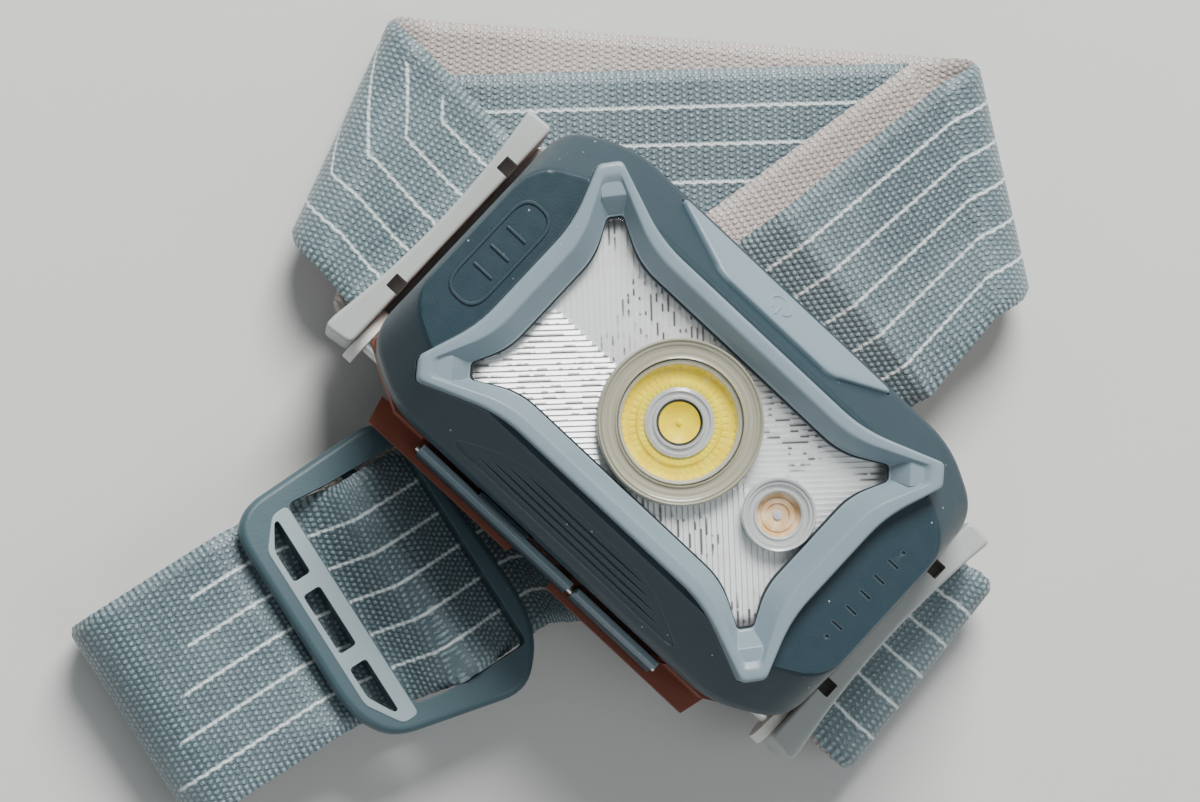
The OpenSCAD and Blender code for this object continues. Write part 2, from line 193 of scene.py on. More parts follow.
def plastic(name, colour, roughness, grain=0.012, wear=0.35, dust=0.5, **sockets):
    """Moulded plastic: faint mottling, fine spark-eroded grain, paler edges and a few dust specks."""
    p = Paint(name, colour, roughness, **sockets)
    mottle = p.noise(90, 4)
    body = p.mix(mottle, shade(colour, 0.9), shade(colour, 1.1))
    streaks = p.noise(1500, 3, stretch=(1, 0.25, 1))
    body = p.mix(p.step(streaks, 0.62, 0.8) * 0.12, body, shade(colour, 1.5))
    pale_edge = p.mix(wear, shade(colour, 1.7), srgb(200, 212, 216))
    body = p.mix(p.edges() * wear, body, pale_edge)
    body = p.mix(p.specks(820, 0.11) * dust, body, srgb(205, 215, 216))
    p.colour(body)
    p.set(p.shader, "Roughness", p.noise(700, 3) * 0.16 + (roughness - 0.08))
    p.bump(p.noise(4200, 2), grain)


def metal(name, colour, roughness, lines=(1, 1, 12)):
    """Drawn or plated metal with fine lines and dull patches."""
    p = Paint(name, colour, roughness, Metallic=1.0)
    grain = p.noise(1600, 4, stretch=lines)
    dull = p.noise(260, 3)
    p.colour(p.mix(p.step(dull, 0.4, 0.75), colour, shade(colour, 0.72)))
    p.set(p.shader, "Roughness", grain * 0.22 + (roughness - 0.1))
    p.bump(grain, 0.01)


def rubber(name, colour):
    p = Paint(name, colour, 0.75, Specular_IOR_Level=0.3)
    p.colour(p.mix(p.noise(400, 4), shade(colour, 0.75), shade(colour, 1.3)))
    p.bump(p.noise(3000, 3), 0.03)


def board(name, colour, track):
    """Circuit board: lacquer over fine copper tracks."""
    p = Paint(name, colour, 0.35, Coat_Weight=0.4)
    x, y, _ = p.split(p.place())
    near_x = p.math("PINGPONG", x, 0.0011)
    near_y = p.math("PINGPONG", y + p.math("SIGN", x) * 0.0004, 0.0016)
    lines = p.math("MAXIMUM", p.step(near_x, 0.00016, 0.0001), p.step(near_y, 0.00016, 0.0001))
    gate = p.step(p.noise(260, 1), 0.47, 0.5)
    p.colour(p.mix(lines * gate, p.mix(p.noise(300), shade(colour, 0.9), colour), track))
    p.bump(lines, 0.03)


def sleeve(name, side):
    """Printed cell wrapper: two bands of colour and a thin line, with a soft shine."""
    p = Paint(name, srgb(64, 96, 104), 0.3, Coat_Weight=0.5)
    x, _, _ = p.split(p.place())
    x = x * side
    band = p.step(x, 0.0108, 0.0109)
    line = p.step(abs(x - 0.0098), 0.0004, 0.0003)
    body = p.mix(band, srgb(52, 84, 92), srgb(190, 132, 64))
    body = p.mix(line, body, srgb(224, 226, 222))
    p.colour(p.mix(p.noise(900, 4) * 0.2, body, srgb(20, 30, 34)))
    p.bump(p.noise(500, 3), 0.03)


# stripe spacing, outermost stripes' limit, half a stripe's width, the weave's cell, and how steeply
# the stripes turn past a bend
STRIPE_GAP, STRIPES_EDGE, STRIPE_HALF = 4.3, 10.6, 0.14
WEAVE_U, WEAVE_V = 0.74, 0.66
BEND_SLOPE = 1.08


def webbing(name, face, bend=None, ends=None):
    """Woven elastic. The weave map holds millimetres along (u) and across (v) the band.

    bend is (u, u per v): the line across the band where the stripes turn towards a selvedge.
    ends is (u, u per v): the line across the band past which it has no stripes.
    """
    dark, pale, stripe = face
    p = Paint(name, dark, 0.44, Specular_IOR_Level=0.85, Sheen_Weight=0.25, Sheen_Roughness=0.4)
    u, v, _ = p.split(p.node("UVMap", uv_map="weave"))
    wobble = (p.noise(1300, 2) - 0.5) * 0.07
    # staggered floats of the weft, in short columns across the band
    column = u / WEAVE_U
    odd = p.math("FLOOR", column) % 2.0
    row = v / WEAVE_V + odd * 0.5
    across = p.math("FRACT", column) - 0.5
    along = p.math("FRACT", row) - 0.5
    round_off = across * across + along * along
    knob = p.step(round_off, 0.2, 0.02)
    yarn = knob * p.step(p.noise(2600, 3), 0.25, 0.7)
    # fine lengthwise rib of the rubber cores
    rib = p.math("PINGPONG", v, WEAVE_V / 2)
    fuzz = p.noise(5200, 3)
    patches = p.step(p.noise(55, 3), 0.38, 0.66)
    body = p.mix(yarn * 0.62 + patches * 0.18, dark, pale)
    body = p.mix(fuzz * 0.22, body, pale)
    height = knob * 0.8 + fuzz * 0.35
    if stripe:
        level = v + wobble
        if bend:
            start, lean = bend
            over = (u - start - v * lean) / (1 - BEND_SLOPE * lean)
            level = level - p.math("MAXIMUM", over, 0.0) * BEND_SLOPE
        turn = p.math("PINGPONG", level + 20.5 * STRIPE_GAP, STRIPE_GAP / 2)
        off = STRIPE_GAP / 2 - turn
        line = p.step(off, STRIPE_HALF + 0.16, STRIPE_HALF - 0.08)
        inside = p.step(abs(v), STRIPES_EDGE, STRIPES_EDGE - 0.3)
        line = line * inside
        if ends:
            end, lean = ends
            line = line * p.step(u - (v * lean + end), 0.2, -0.2)
        body = p.mix(line * (fuzz * 0.5 + 0.7), body, stripe)
        height = line * 0.5 + height
    selvedge = p.step(abs(v), BAND_HALF - 1.3, BAND_HALF - 0.9)
    bead = p.step(p.math("PINGPONG", u, WEAVE_U / 2), 0.08, 0.26)
    body = p.mix(selvedge * 0.3, body, p.mix(bead, dark, pale))
    p.colour(p.mix(rib * 0.3, body, shade(dark, 0.7)))
    p.bump(rib * 0.5 + height, 0.16)


def lens_ribs():
    """Silvered prisms: the geometry gives the ribs, and this adds their bright and dark glints as painted
    reflections.
    """
    p = Paint("reflector_silver", srgb(224, 226, 224), 0.28, Metallic=0.12, Specular_IOR_Level=0.7)
    x, y, _ = p.split(p.place())
    level = (abs(x) - abs(y)) / (RIB_STEP * MM)
    share = p.math("FRACT", level)
    along = abs(x) + abs(y)
    edge = p.math("MAXIMUM", p.step(share, 0.16, 0.02), p.step(share, 0.9, 1.0))
    rib = p.math("FLOOR", level)
    cell = p.node("CombineXYZ", {0: rib * 7.3, 1: along * 380, 2: p.math("SIGN", y)})
    # painted dark glints: dark dashes along the ribs, in patches and towards the star's tips
    dark_glint_dashes = p.noise(1.1, 1, vector=cell)
    dark_glint_tips = p.step(along, 24.5 * MM, 28.5 * MM)
    zones = p.math("MAXIMUM", p.step(p.noise(95, 2), 0.5, 0.58), dark_glint_tips)
    dark = p.step(dark_glint_dashes, 0.51, 0.55) * zones * p.step(share, 0.42, 0.3)
    warm = p.step(p.noise(140, 3), 0.58, 0.7)
    # painted dark glints: the rib edges mixed towards grey
    body = p.mix(edge * 0.4, srgb(246, 248, 248), srgb(158, 164, 168))
    body = p.mix(warm * 0.25, body, srgb(206, 188, 168))
    body = p.mix(dark * 0.9, body, srgb(30, 29, 30))
    # painted dark glints: the star's tips painted nearly black
    body = p.mix(p.step(along, 28.6 * MM, 30.2 * MM) * 0.8, body, srgb(52, 58, 62))
    p.colour(body)
    p.bump(p.noise(2500, 2), 0.01)


def clear(name, colour, alpha):
    """Clear moulded plastic, mostly gone where it is faced and hazier at its edges."""
    p = Paint(name, colour, 0.06, Coat_Weight=0.4, Coat_Roughness=0.03)
    grazing = p.node("LayerWeight", {"Blend": 0.35}, "Facing")
    haze = p.step(p.noise(900, 3), 0.5, 0.8) * 0.04
    p.set(p.shader, "Alpha", grazing * 0.28 + alpha + haze)
    p.colour(p.mix(p.noise(300, 2), shade(colour, 0.94), colour))


def ring_plastic():
    p = Paint("ring_beige", srgb(176, 172, 150), 0.3, Coat_Weight=0.6)
    x, y, _ = p.split(p.place())
    radius = p.math("POWER", x * x + y * y, 0.5)
    fine = p.step(p.math("PINGPONG", radius, 0.0003), 0.00006, 0.00022)
    body = p.mix(fine * 0.35, srgb(150, 148, 127), srgb(190, 187, 168))
    p.colour(p.mix(p.noise(240, 3) * 0.5, body, srgb(168, 165, 146)))
    p.bump(fine, 0.02)


def phosphor(name, colour, pale_and_highlight_colour, rays=0):
    """Yellow of the light source seen through the optic, with paler patches, and broken up by its facets into
    painted highlights.
    """
    p = Paint(name, colour, 0.5, Coat_Weight=0.1, Specular_IOR_Level=0.2)
    x, y, _ = p.split(p.place())
    body = p.mix(p.step(p.noise(620, 3), 0.35, 0.7), colour, pale_and_highlight_colour)
    if rays:
        angle = p.math("ARCTAN2", y, x)
        cells = p.math("PINGPONG", angle * (rays / math.tau), 0.5)
        radius = p.math("POWER", x * x + y * y, 0.5)
        rings = p.math("PINGPONG", radius * 900, 0.5)
        facets = p.step(cells, 0.05, 0.3) * p.step(rings, 0.05, 0.35)
        # painted highlights: the facets' cells painted in the paler colour
        body = p.mix(facets * 0.45, body, pale_and_highlight_colour)
        p.bump(facets, 0.05)
    p.colour(body)


# the lens's prisms
RIB_STEP, RIB_HEIGHT = 0.85, 0.22

TEAL = srgb(27, 51, 61)
PALE_BLUE = srgb(124, 143, 152)
plastic("front_teal", TEAL, 0.42, grain=0.016, wear=0.3, dust=0.55)
plastic("bezel_blue", PALE_BLUE, 0.4, grain=0.008, wear=0.35, dust=0.3)
plastic("bracket_grey", srgb(176, 181, 178), 0.5, grain=0.016, wear=0.25, dust=0.1)
plastic("slider_teal", srgb(62, 86, 94), 0.46, grain=0.022, wear=0.3, dust=0.4)
plastic("slider_grey", srgb(146, 162, 166), 0.46, grain=0.016, wear=0.2, dust=0.2)
plastic("rear_terracotta", srgb(120, 62, 42), 0.45, grain=0.02, wear=0.25, dust=0.2)
plastic("carrier_grey", srgb(96, 100, 104), 0.55, grain=0.03)
plastic("washer_nylon", srgb(222, 222, 214), 0.5)
plastic("switch_black", srgb(32, 33, 36), 0.45)
metal("steel", srgb(190, 190, 188), 0.3)
metal("contact_nickel", srgb(204, 200, 188), 0.34, lines=(1, 8, 1))
metal("solder", srgb(198, 200, 204), 0.3)
rubber("seal_rubber", srgb(46, 50, 54))
board("board_white", srgb(226, 227, 223), srgb(206, 196, 168))
board("board_green", srgb(30, 84, 54), srgb(60, 120, 76))
sleeve("sleeve_left", -1.0)
sleeve("sleeve_right", 1.0)
lens_ribs()
clear("lens_clear", srgb(236, 241, 243), 0.015)
clear("optic_clear", srgb(238, 240, 236), 0.01)
plastic("optic_solid", srgb(184, 188, 188), 0.22, grain=0.004, Coat_Weight=0.8)
ring_plastic()
phosphor("led_phosphor", srgb(250, 218, 0), srgb(255, 238, 10), rays=44)
phosphor("led_centre", srgb(246, 212, 0), srgb(255, 232, 10))
phosphor("led_peach", srgb(206, 168, 122), srgb(238, 212, 176))

# webbing faces: dark yarn, pale yarn, stripe
OUTER = (srgb(42, 66, 75), srgb(172, 196, 202), srgb(228, 238, 238))
INNER = (srgb(158, 148, 142), srgb(226, 218, 212), None)


# ---- meshes ----

def unit(v):
    v = np.asarray(v, float)
    return v / np.linalg.norm(v)


def rounded(corners, reach, steps=5):
    """A closed outline with each corner turned into an arc that starts reach before it."""
    corners = [np.array(c, float) for c in corners]
    reaches = reach if hasattr(reach, "__len__") else [reach] * len(corners)
    line = []
    for i, here in enumerate(corners):
        before, after = corners[i - 1], corners[(i + 1) % len(corners)]
        start = here + unit(before - here) * min(reaches[i], 0.45 * np.linalg.norm(before - here))
        end = here + unit(after - here) * min(reaches[i], 0.45 * np.linalg.norm(after - here))
        for k in range(steps + 1):
            t = k / steps
            line.append(start * (1 - t) ** 2 + 2 * here * t * (1 - t) + end * t * t)
    return np.array(line)


def cut_rect(hx, hy, dx=7.0, dy=3.8):
    """A rectangle with its corners cut off at a slant, counter-clockwise."""
    corner = [(hx, -hy + dy), (hx, hy - dy), (hx - dx, hy), (-hx + dx, hy)]
    return corner + [(-x, -y) for x, y in corner]


def star(end_x, end_y, tip_x, tip_y, tip_w, side_x, side_y):
    """The star frame's outline, from one quarter of it."""
    quarter = [(end_x, end_y), (tip_x, tip_y - tip_w), (tip_x - tip_w * 0.8, tip_y), (side_x, side_y)]
    left = [(-x, y) for x, y in reversed(quarter)]
    return quarter + left + [(-x, -y) for x, y in quarter] + [(x, -y) for x, y in reversed(quarter)]


def star_outer(grow=0.0):
    return star(22.6 + grow, 7.3, 24.9 + grow, 15.8 + grow, 2.0, 14.5, 12.5 + grow)


def star_crest(grow):
    return star(20.6 + grow, 6.95, 23.5 + grow, 14.5 + grow, 1.5, 14.5, 10.9 + grow)


def star_window(grow=0.0):
    return star(18.5 + grow, 6.6, 20.4 + grow, 11.9 + grow, 1.4, 14.6, 9.3 + grow)


def lift(outline, z):
    outline = np.asarray(outline, float)
    return np.column_stack([outline, np.full(len(outline), float(z))])


def upright(x, section):
    """A ring at x from the (y, z) points of a section."""
    return np.column_stack([np.full(len(section), x), section])


def loft(rings, loop=False, caps=True):
    """Points and faces of a skin over rings that all have the same number of points."""
    n = len(rings[0])
    points = np.concatenate(rings)
    faces = []
    for i in range(len(rings) if loop else len(rings) - 1):
        a, b = i * n, ((i + 1) % len(rings)) * n
        faces += [(a + k, a + (k + 1) % n, b + (k + 1) % n, b + k) for k in range(n)]
    if caps and not loop:
        faces.append(tuple(range(n - 1, -1, -1)))
        faces.append(tuple(len(points) - n + k for k in range(n)))
    return points, faces


def revolve(profile, centre=(0, 0), turns=96, close=False):
    """A skin turned about a vertical axis from (radius, height) points."""
    angles = [math.tau * k / turns for k in range(turns)]
    rings = []
    for r, z in profile:
        r = max(r, 0.001)
        circle = [(centre[0] + r * math.cos(a), centre[1] + r * math.sin(a)) for a in angles]
        rings.append(lift(circle, z))
    return loft(rings, loop=close, caps=not close)


def extrude(outline, z0, z1, edge=0.2, steps=3):
    """A plate over an outline, with rounded edges that the outline is pulled in by."""
    outline = np.asarray(outline, float)
    forward = np.roll(outline, -1, 0) - outline
    backward = outline - np.roll(outline, 1, 0)
    forward /= np.linalg.norm(forward, axis=1)[:, None] + 1e-9
    backward /= np.linalg.norm(backward, axis=1)[:, None] + 1e-9
    along = forward + backward
    along /= np.linalg.norm(along, axis=1)[:, None] + 1e-9
    out = np.column_stack([along[:, 1], -along[:, 0]])
    rings = []
    for end, sign in ((z0, 1), (z1, -1)):
        turn = range(steps + 1) if sign > 0 else range(steps, -1, -1)
        for k in turn:
            a = math.pi / 2 * k / steps
            pulled = outline - out * edge * (1 - math.sin(a))
            rings.append(lift(pulled, end + sign * edge * (1 - math.cos(a))))
    return loft(rings)


def corners_of(x0, x1, y0, y1):
    return [(x1, y0), (x1, y1), (x0, y1), (x0, y0)]


def block(x0, x1, y0, y1, z0, z1, edge=0.15):
    return extrude(rounded(corners_of(x0, x1, y0, y1), edge * 1.6, 3), z0, z1, edge)


def along_x(x0, x1, y, z, r, turns=40, edge=0.1):
    """A pin along X with rounded rims."""
    angles = math.tau * np.arange(turns) / turns
    rings = []
    for x, radius in ((x0, r - edge), (x0 + edge * 0.3, r - edge * 0.3), (x0 + edge, r),
                      (x1 - edge, r), (x1 - edge * 0.3, r - edge * 0.3), (x1, r - edge)):
        rings.append(upright(x, np.column_stack([y + radius * np.cos(angles), z + radius * np.sin(angles)])))
    return loft(rings)


def merged(parts):
    """One skin from several."""
    points, faces, count = [], [], 0
    for p, f in parts:
        points.append(np.asarray(p, float))
        faces += [tuple(i + count for i in face) for face in f]
        count += len(p)
    return np.concatenate(points), faces


def moved(part, matrix):
    points, faces = part
    rotated = np.asarray(points) @ np.array(matrix.to_3x3()).T + np.array(matrix.translation)
    return rotated, faces


def thing(name, part, matrix=None):
    """A loose object from points and faces in millimetres."""
    points, faces = moved(part, matrix) if matrix else part
    mesh = bpy.data.meshes.new(name)
    mesh.from_pydata((np.asarray(points) * MM).tolist(), [], faces)
    mesh.validate()
    made = bpy.data.objects.new(name, mesh)
    bpy.context.scene.collection.objects.link(made)
    return made


def settle(made):
    """Applies a piece's modifiers."""
    graph = bpy.context.evaluated_depsgraph_get()
    old = made.data
    made.data = bpy.data.meshes.new_from_object(made.evaluated_get(graph), depsgraph=graph)
    made.modifiers.clear()
    bpy.data.meshes.remove(old)


def carve(made, cutters):
    """Cuts each (points, faces) out of a piece."""
    for part in cutters:
        tool = thing("tool", part)
        boolean = made.modifiers.new("cut", "BOOLEAN")
        boolean.operation = "DIFFERENCE"
        boolean.object = tool
        boolean.solver = "EXACT"
        settle(made)
        bpy.data.objects.remove(tool)


def soften(made, width, segments, angle):
    """Rounds the piece's sharp edges."""
    bevel = made.modifiers.new("bevel", "BEVEL")
    bevel.width = width * MM
    bevel.segments = segments
    bevel.limit_method = "ANGLE"
    bevel.angle_limit = math.radians(angle)
    bevel.use_clamp_overlap = True


def cut_and_round(made, cutters, width, segments=2, angle=32):
    """Cuts a piece and rounds its edges, for good."""
    carve(made, cutters)
    soften(made, width, segments, angle)
    settle(made)


def finish_piece(made, body, slot, materials=None, replaces=(), angle=34, weighted=True):
    """Shades, paints and mounts a piece."""
    made.data.materials.clear()
    for name in materials or [slot]:
        made.data.materials.append(MATERIALS[name])
    made.data.shade_smooth()
    made.data.set_sharp_from_angle(angle=math.radians(angle))
    if weighted:
        made.modifiers.new("normals", "WEIGHTED_NORMAL").keep_sharp = True
    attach(made, body)
    if replaces:
        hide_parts(*replaces)


def piece(name, parts, body, slot, materials=None, replaces=(), matrix=None, angle=34):
    """A finished piece, merged from its parts."""
    finish_piece(thing(name, merged(parts), matrix), body, slot, materials, replaces, angle)


# ---- camera, floor and light ----

def camera():
    """Looks down on the lamp, turned so that its long axis falls to the right."""
    lean_x, lean_y, roll = math.radians(1.7), math.radians(5.0), math.radians(43.15)
    distance, aim = 430 * MM, Vector((-7.83, -4.48, 38)) * MM
    back = Vector((-math.sin(lean_x), -math.sin(lean_y), 0))
    back.z = math.sqrt(1 - back.length_squared)
    right = Vector((math.cos(roll), math.sin(roll), 0))
    right = (right - right.dot(back) * back).normalized()
    up = back.cross(right)
    data = bpy.data.cameras.new("camera")
    data.lens, data.sensor_width = 123.5, 36
    data.clip_start, data.clip_end = 0.01, 20
    made = bpy.data.objects.new("camera", data)
    bpy.context.scene.collection.objects.link(made)
    made.matrix_world = Matrix((right, up, back)).transposed().to_4x4()
    made.location = aim + back * distance
    bpy.context.scene.camera = made


def soft_light(name, place, size, power, colour=(1, 1, 1)):
    data = bpy.data.lights.new(name, "AREA")
    data.shape = "DISK"
    data.size, data.energy, data.color = size, power, colour
    made = bpy.data.objects.new(name, data)
    made.location = place
    made.rotation_euler = (Vector((0, 0, 0.02)) - Vector(place)).to_track_quat("-Z", "Y").to_euler()
    bpy.context.scene.collection.objects.link(made)


def studio():
    floor = thing("floor", block(-2500, 2500, -2500, 2500, -4, 0, 1))
    paint = Paint("floor_pale", srgb(214, 214, 211), 0.8)
    paint.colour(paint.mix(paint.noise(14, 4), srgb(206, 206, 203), srgb(220, 220, 217)))
    floor.data.materials.append(MATERIALS["floor_pale"])
    soft_light("key", (-0.3, 0.5, 0.56), 0.4, 12.5, (1, 0.99, 0.97))
    soft_light("fill", (0.5, 0.1, 0.7), 0.6, 1.5, (0.95, 0.98, 1))
    soft_light("low_back", (0.1, -0.7, 0.35), 0.5, 1.0, (0.92, 0.96, 1))
    world = bpy.data.worlds.new("studio")
    world.use_nodes = True
    background = world.node_tree.nodes["Background"]
    background.inputs["Color"].default_value = (0.78, 0.83, 0.86, 1)
    background.inputs["Strength"].default_value = 0.25
    bpy.context.scene.world = world


# ---- headband ----

def layer(k):
    """Middle height of the webbing in a layer, counted up from the surface."""
    return BAND_T / 2 + (k - 1) * BAND_PITCH


def flat(a, b, z):
    return [(np.array([*a, z], float), np.array([*b, z], float), False)]


def fold(a, b, z, out, r, up, drift, steps=18):
    """Rungs round a fold of radius r that opens outward along out and turns up or down."""
    rungs = []
    for i in range(steps + 1):
        t = i / steps
        move = np.array(out) * r * math.sin(math.pi * t) + np.array(drift) * t
        height = z + up * r * (1 - math.cos(math.pi * t))
        start, end = np.array([*(a + move), height]), np.array([*(b + move), height])
        rungs.append((start, end, 0 < i < steps))
    return rungs


def slider_point(s, w):
    return SLIDER_C + SLIDER_S * s + SLIDER_W * w


def slider_rung(s, z, mid):
    return flat(slider_point(s, mid + BAND_HALF), slider_point(s, mid - BAND_HALF), z)


F3_R = 4.9


def band_rungs():
    rungs = flat([36, -13], [36, 13], layer(6) + 0.05) + flat([-36, -13], [-36, 13], layer(6) + 0.05)
    rungs += fold([-39.4, -12.6], [-48.1, 13.4], 9.4, [-0.948, -0.318], 4.4, -1, [-1.5, 4.4])
    rungs += fold([15.8, 37.9], [-6.5, 53.2], layer(1), [0.566, 0.824], 4.5, 1, [3.4, -2.3])
    rungs += flat([19.9, 24], [-6.6, 27.5], 8.4) + flat([18.4, 19], [-8.2, 20], layer(4))
    rungs += flat([16, 15.3], [-10.2, 5.6], layer(4)) + flat([14, 8.2], [-12.4, -2.6], layer(2))
    rungs += flat([9, -20], [-16.5, -13.5], layer(2))
    for s, z, mid in ((12.6, 2.5, 0), (9.5, 4.1, 0), (6.2, 6.9, 0), (4, 9.6, 0), (2.5, 10.3, 0), (1, 10.2, 0),
                      (-1.2, 8.8, -0.4), (-4, 7.7, -1), (-8, 7.9, -1.6), (-11.5, 8.9, -2.2), (-15, 10, -2.4)):
        rungs += slider_rung(s, z, mid)
    a, b = slider_point(-27.5, 10.6), slider_point(-27.5, -15.4)
    rungs += fold(a, b, layer(1) + 2 * F3_R, -SLIDER_S, F3_R, -1, [0, 0])
    rungs += flat([9.8, 6.5], [-18.2, -5], layer(1)) + flat([11.2, 13.5], [-16, 3.5], layer(3))
    rungs += fold([16.9, 37.5], [-7.3, 50.2], layer(3), [0.466, 0.885], BAND_PITCH / 2, -1, [-0.6, 0.3], 10)
    rungs += fold([-35.2, -13.6], [-45.4, 13], layer(2), [-0.934, -0.358], BAND_PITCH / 2, 1, [0.4, -0.9], 10)
    rungs += flat([-27, -14.6], [-27, 11.6], layer(3)) + flat([-20.5, -14.6], [-20.5, 11.5], layer(5))
    rungs += flat([20.5, -13.6], [20.5, 12.6], layer(5)) + flat([27, -13.4], [27, 12.8], layer(3))
    rungs += fold([39.2, -13.2], [37.2, 13.4], layer(3), [0.997, 0.075], 2.2, 1, [0, 0])
    return rungs


def tail_rungs():
    rungs = []
    for s, z, mid in ((3.2, 6.3, 0), (0.4, 6.4, -0.2), (-4, 6.2, -1), (-8, 6.4, -1.6), (-11.5, 7.4, -2.2),
                      (-15, 8.5, -2.4), (-23, 8.8, -2.4)):
        rungs += slider_rung(s, z, mid)
    return rungs


# rows along the webbing, cells across it, and where the rounded selvedge starts
ROW_GAP, CROSS, SELVEDGE = 0.37, 22, 0.93


def skew_along(mids, spans, folded, closed):
    """How far selvedge b leads selvedge a along the band, at each rung. It carries on through a fold."""
    n = len(mids)
    skew = np.zeros(n)
    for i in range(n):
        if folded[i]:
            continue
        ahead = (i + 1) % n if closed else min(i + 1, n - 1)
        behind = (i - 1) % n if closed else max(i - 1, 0)
        use_ahead = folded[behind] or (not folded[ahead] and ahead != i)
        run = mids[ahead] - mids[i] if use_ahead else mids[i] - mids[behind]
        skew[i] = spans[i] @ unit(run)
    i = 0
    while i < n:
        if folded[i]:
            end = i
            while folded[end]:
                end += 1
            for k in range(i, end):
                skew[k] = skew[i - 1] + (skew[end] - skew[i - 1]) * (k - i + 1) / (end - i + 1)
            i = end
        i += 1
    return skew


def refined(rungs, closed):
    """Rungs as rows (a, b, u of a, u of b), evenly spaced on smooth curves."""
    a = np.array([r[0] for r in rungs])
    b = np.array([r[1] for r in rungs])
    folded = [r[2] for r in rungs]
    mids = (a + b) / 2
    skew = skew_along(mids, b - a, folded, closed)
    rows = np.column_stack([a, b, skew])
    if closed:
        rows = np.vstack([rows, rows[:1]])
    dense = [rows[0]]
    for here, after in zip(rows[:-1], rows[1:]):
        length = np.linalg.norm((after[:3] + after[3:6] - here[:3] - here[3:6]) / 2)
        shares = [1.0]
        if length > 5:
            shares = [1.6 / length, *np.linspace(0, 1, int(length / 8) + 2)[1:-1], 1 - 1.6 / length, 1.0]
        dense += [here + (after - here) * t for t in shares]
    dense = np.array(dense)
    mids = (dense[:, :3] + dense[:, 3:6]) / 2
    gaps = np.linalg.norm(np.diff(mids, axis=0), axis=1)
    places = np.concatenate([[0], np.cumsum(gaps)])
    slopes = np.diff(dense, axis=0) / gaps[:, None]
    tangents = np.empty_like(dense)
    blend = slopes[:-1] * gaps[1:, None] + slopes[1:] * gaps[:-1, None]
    tangents[1:-1] = blend / (gaps[:-1] + gaps[1:])[:, None]
    tangents[0], tangents[-1] = slopes[0], slopes[-1]
    if closed:
        tangents[0] = tangents[-1] = (slopes[0] * gaps[-1] + slopes[-1] * gaps[0]) / (gaps[0] + gaps[-1])
    wanted = np.linspace(0, places[-1], int(places[-1] / ROW_GAP) + 1)
    out = []
    for u in wanted:
        i = min(np.searchsorted(places, u, "right") - 1, len(gaps) - 1)
        h, t = gaps[i], (u - places[i]) / gaps[i]
        row = (dense[i] * (2 * t**3 - 3 * t**2 + 1) + tangents[i] * h * (t**3 - 2 * t**2 + t)
               + dense[i + 1] * (3 * t**2 - 2 * t**3) + tangents[i + 1] * h * (t**3 - t**2))
        out.append((row[:3], row[3:6], u - row[6] / 2, u + row[6] / 2))
    return out


def ribbon(name, rungs, closed, zones):
    """Webbing with a rounded, beaded selvedge. zones gives (u it starts at, outer material number)."""
    rows = refined(rungs, closed)
    n = len(rows) - 1 if closed else len(rows)
    even = np.linspace(-1, 1, CROSS + 1)
    shares = np.sin(even * math.pi / 2) * 0.35 + even * 0.65
    points, weave = [], []
    mids = np.array([(r[0] + r[1]) / 2 for r in rows])
    for i in range(n):
        a, b, u_a, u_b = rows[i]
        before = mids[(i - 1) % n] if closed else mids[max(i - 1, 0)]
        after = mids[(i + 1) % n] if closed else mids[min(i + 1, n - 1)]
        normal = unit(np.cross(b - a, after - before))
        middle, half = (a + b) / 2, (b - a) / 2
        u_mid, u_half = (u_a + u_b) / 2, (u_b - u_a) / 2
        bead = 1 + 0.004 * math.sin(math.tau * u_mid / (2 * WEAVE_U))
        for side in (1, -1):
            for s in shares[::side] if side > 0 else shares[::-1][1:-1]:
                past = max(0.0, (abs(s) - SELVEDGE) / (1 - SELVEDGE))
                edge = math.sqrt(max(0.0, 1 - past ** 2))
                thick = BAND_T / 2 * (0.28 + 0.72 * edge) if abs(s) < 1 else 0.0
                points.append(middle + half * s * bead + normal * side * thick)
                weave.append((u_mid + u_half * s, s * BAND_HALF))
    ring = 2 * CROSS
    faces, numbers, weaves = [], [], []
    total = rows[-1][2] / 2 + rows[-1][3] / 2
    for i in range(n if closed else n - 1):
        low, high = i * ring, ((i + 1) % n) * ring
        wrap = total if closed and i == n - 1 else 0.0
        zone = zones[0][1]
        for start, number in zones:
            if start <= (weave[low][0] + weave[low + CROSS][0]) / 2:
                zone = number
        for k in range(ring):
            after = (k + 1) % ring
            faces.append((low + k, low + after, high + after, high + k))
            numbers.append(zone if k < CROSS else 0)
            weaves += [weave[low + k], weave[low + after],
                       (weave[high + after][0] + wrap, weave[high + after][1]),
                       (weave[high + k][0] + wrap, weave[high + k][1])]
    if not closed:
        for end, order in ((0, 1), ((n - 1) * ring, -1)):
            faces.append(tuple(end + k for k in range(ring))[::order])
            numbers.append(0)
            weaves += [weave[end + k] for k in range(ring)][::order]
    made = thing(name, (np.array(points), faces))
    layer_uv = made.data.uv_layers.new(name="weave")
    if len(layer_uv.data) != len(weaves):
        raise RuntimeError("the webbing's faces changed")
    layer_uv.data.foreach_set("uv", np.array(weaves, np.float32).ravel())
    made.data.polygons.foreach_set("material_index", numbers)
    return made


def dress_band(made, materials, node):
    """Finishes webbing and keeps its faces' material numbers, which new materials reset."""
    numbers = np.zeros(len(made.data.polygons), np.int32)
    made.data.polygons.foreach_get("material_index", numbers)
    finish_piece(made, "root", "webbing", materials, [node], angle=60, weighted=False)
    made.data.polygons.foreach_set("material_index", numbers)


# where the stripes bend and end along the band, and where each material number starts
BEND_U, BEND_LEAN = 80.6, -0.33
END_U, END_LEAN = 283.4, -0.72
ZONES = [(0, 1), (40, 2), (110, 1), (245, 3), (330, 1)]


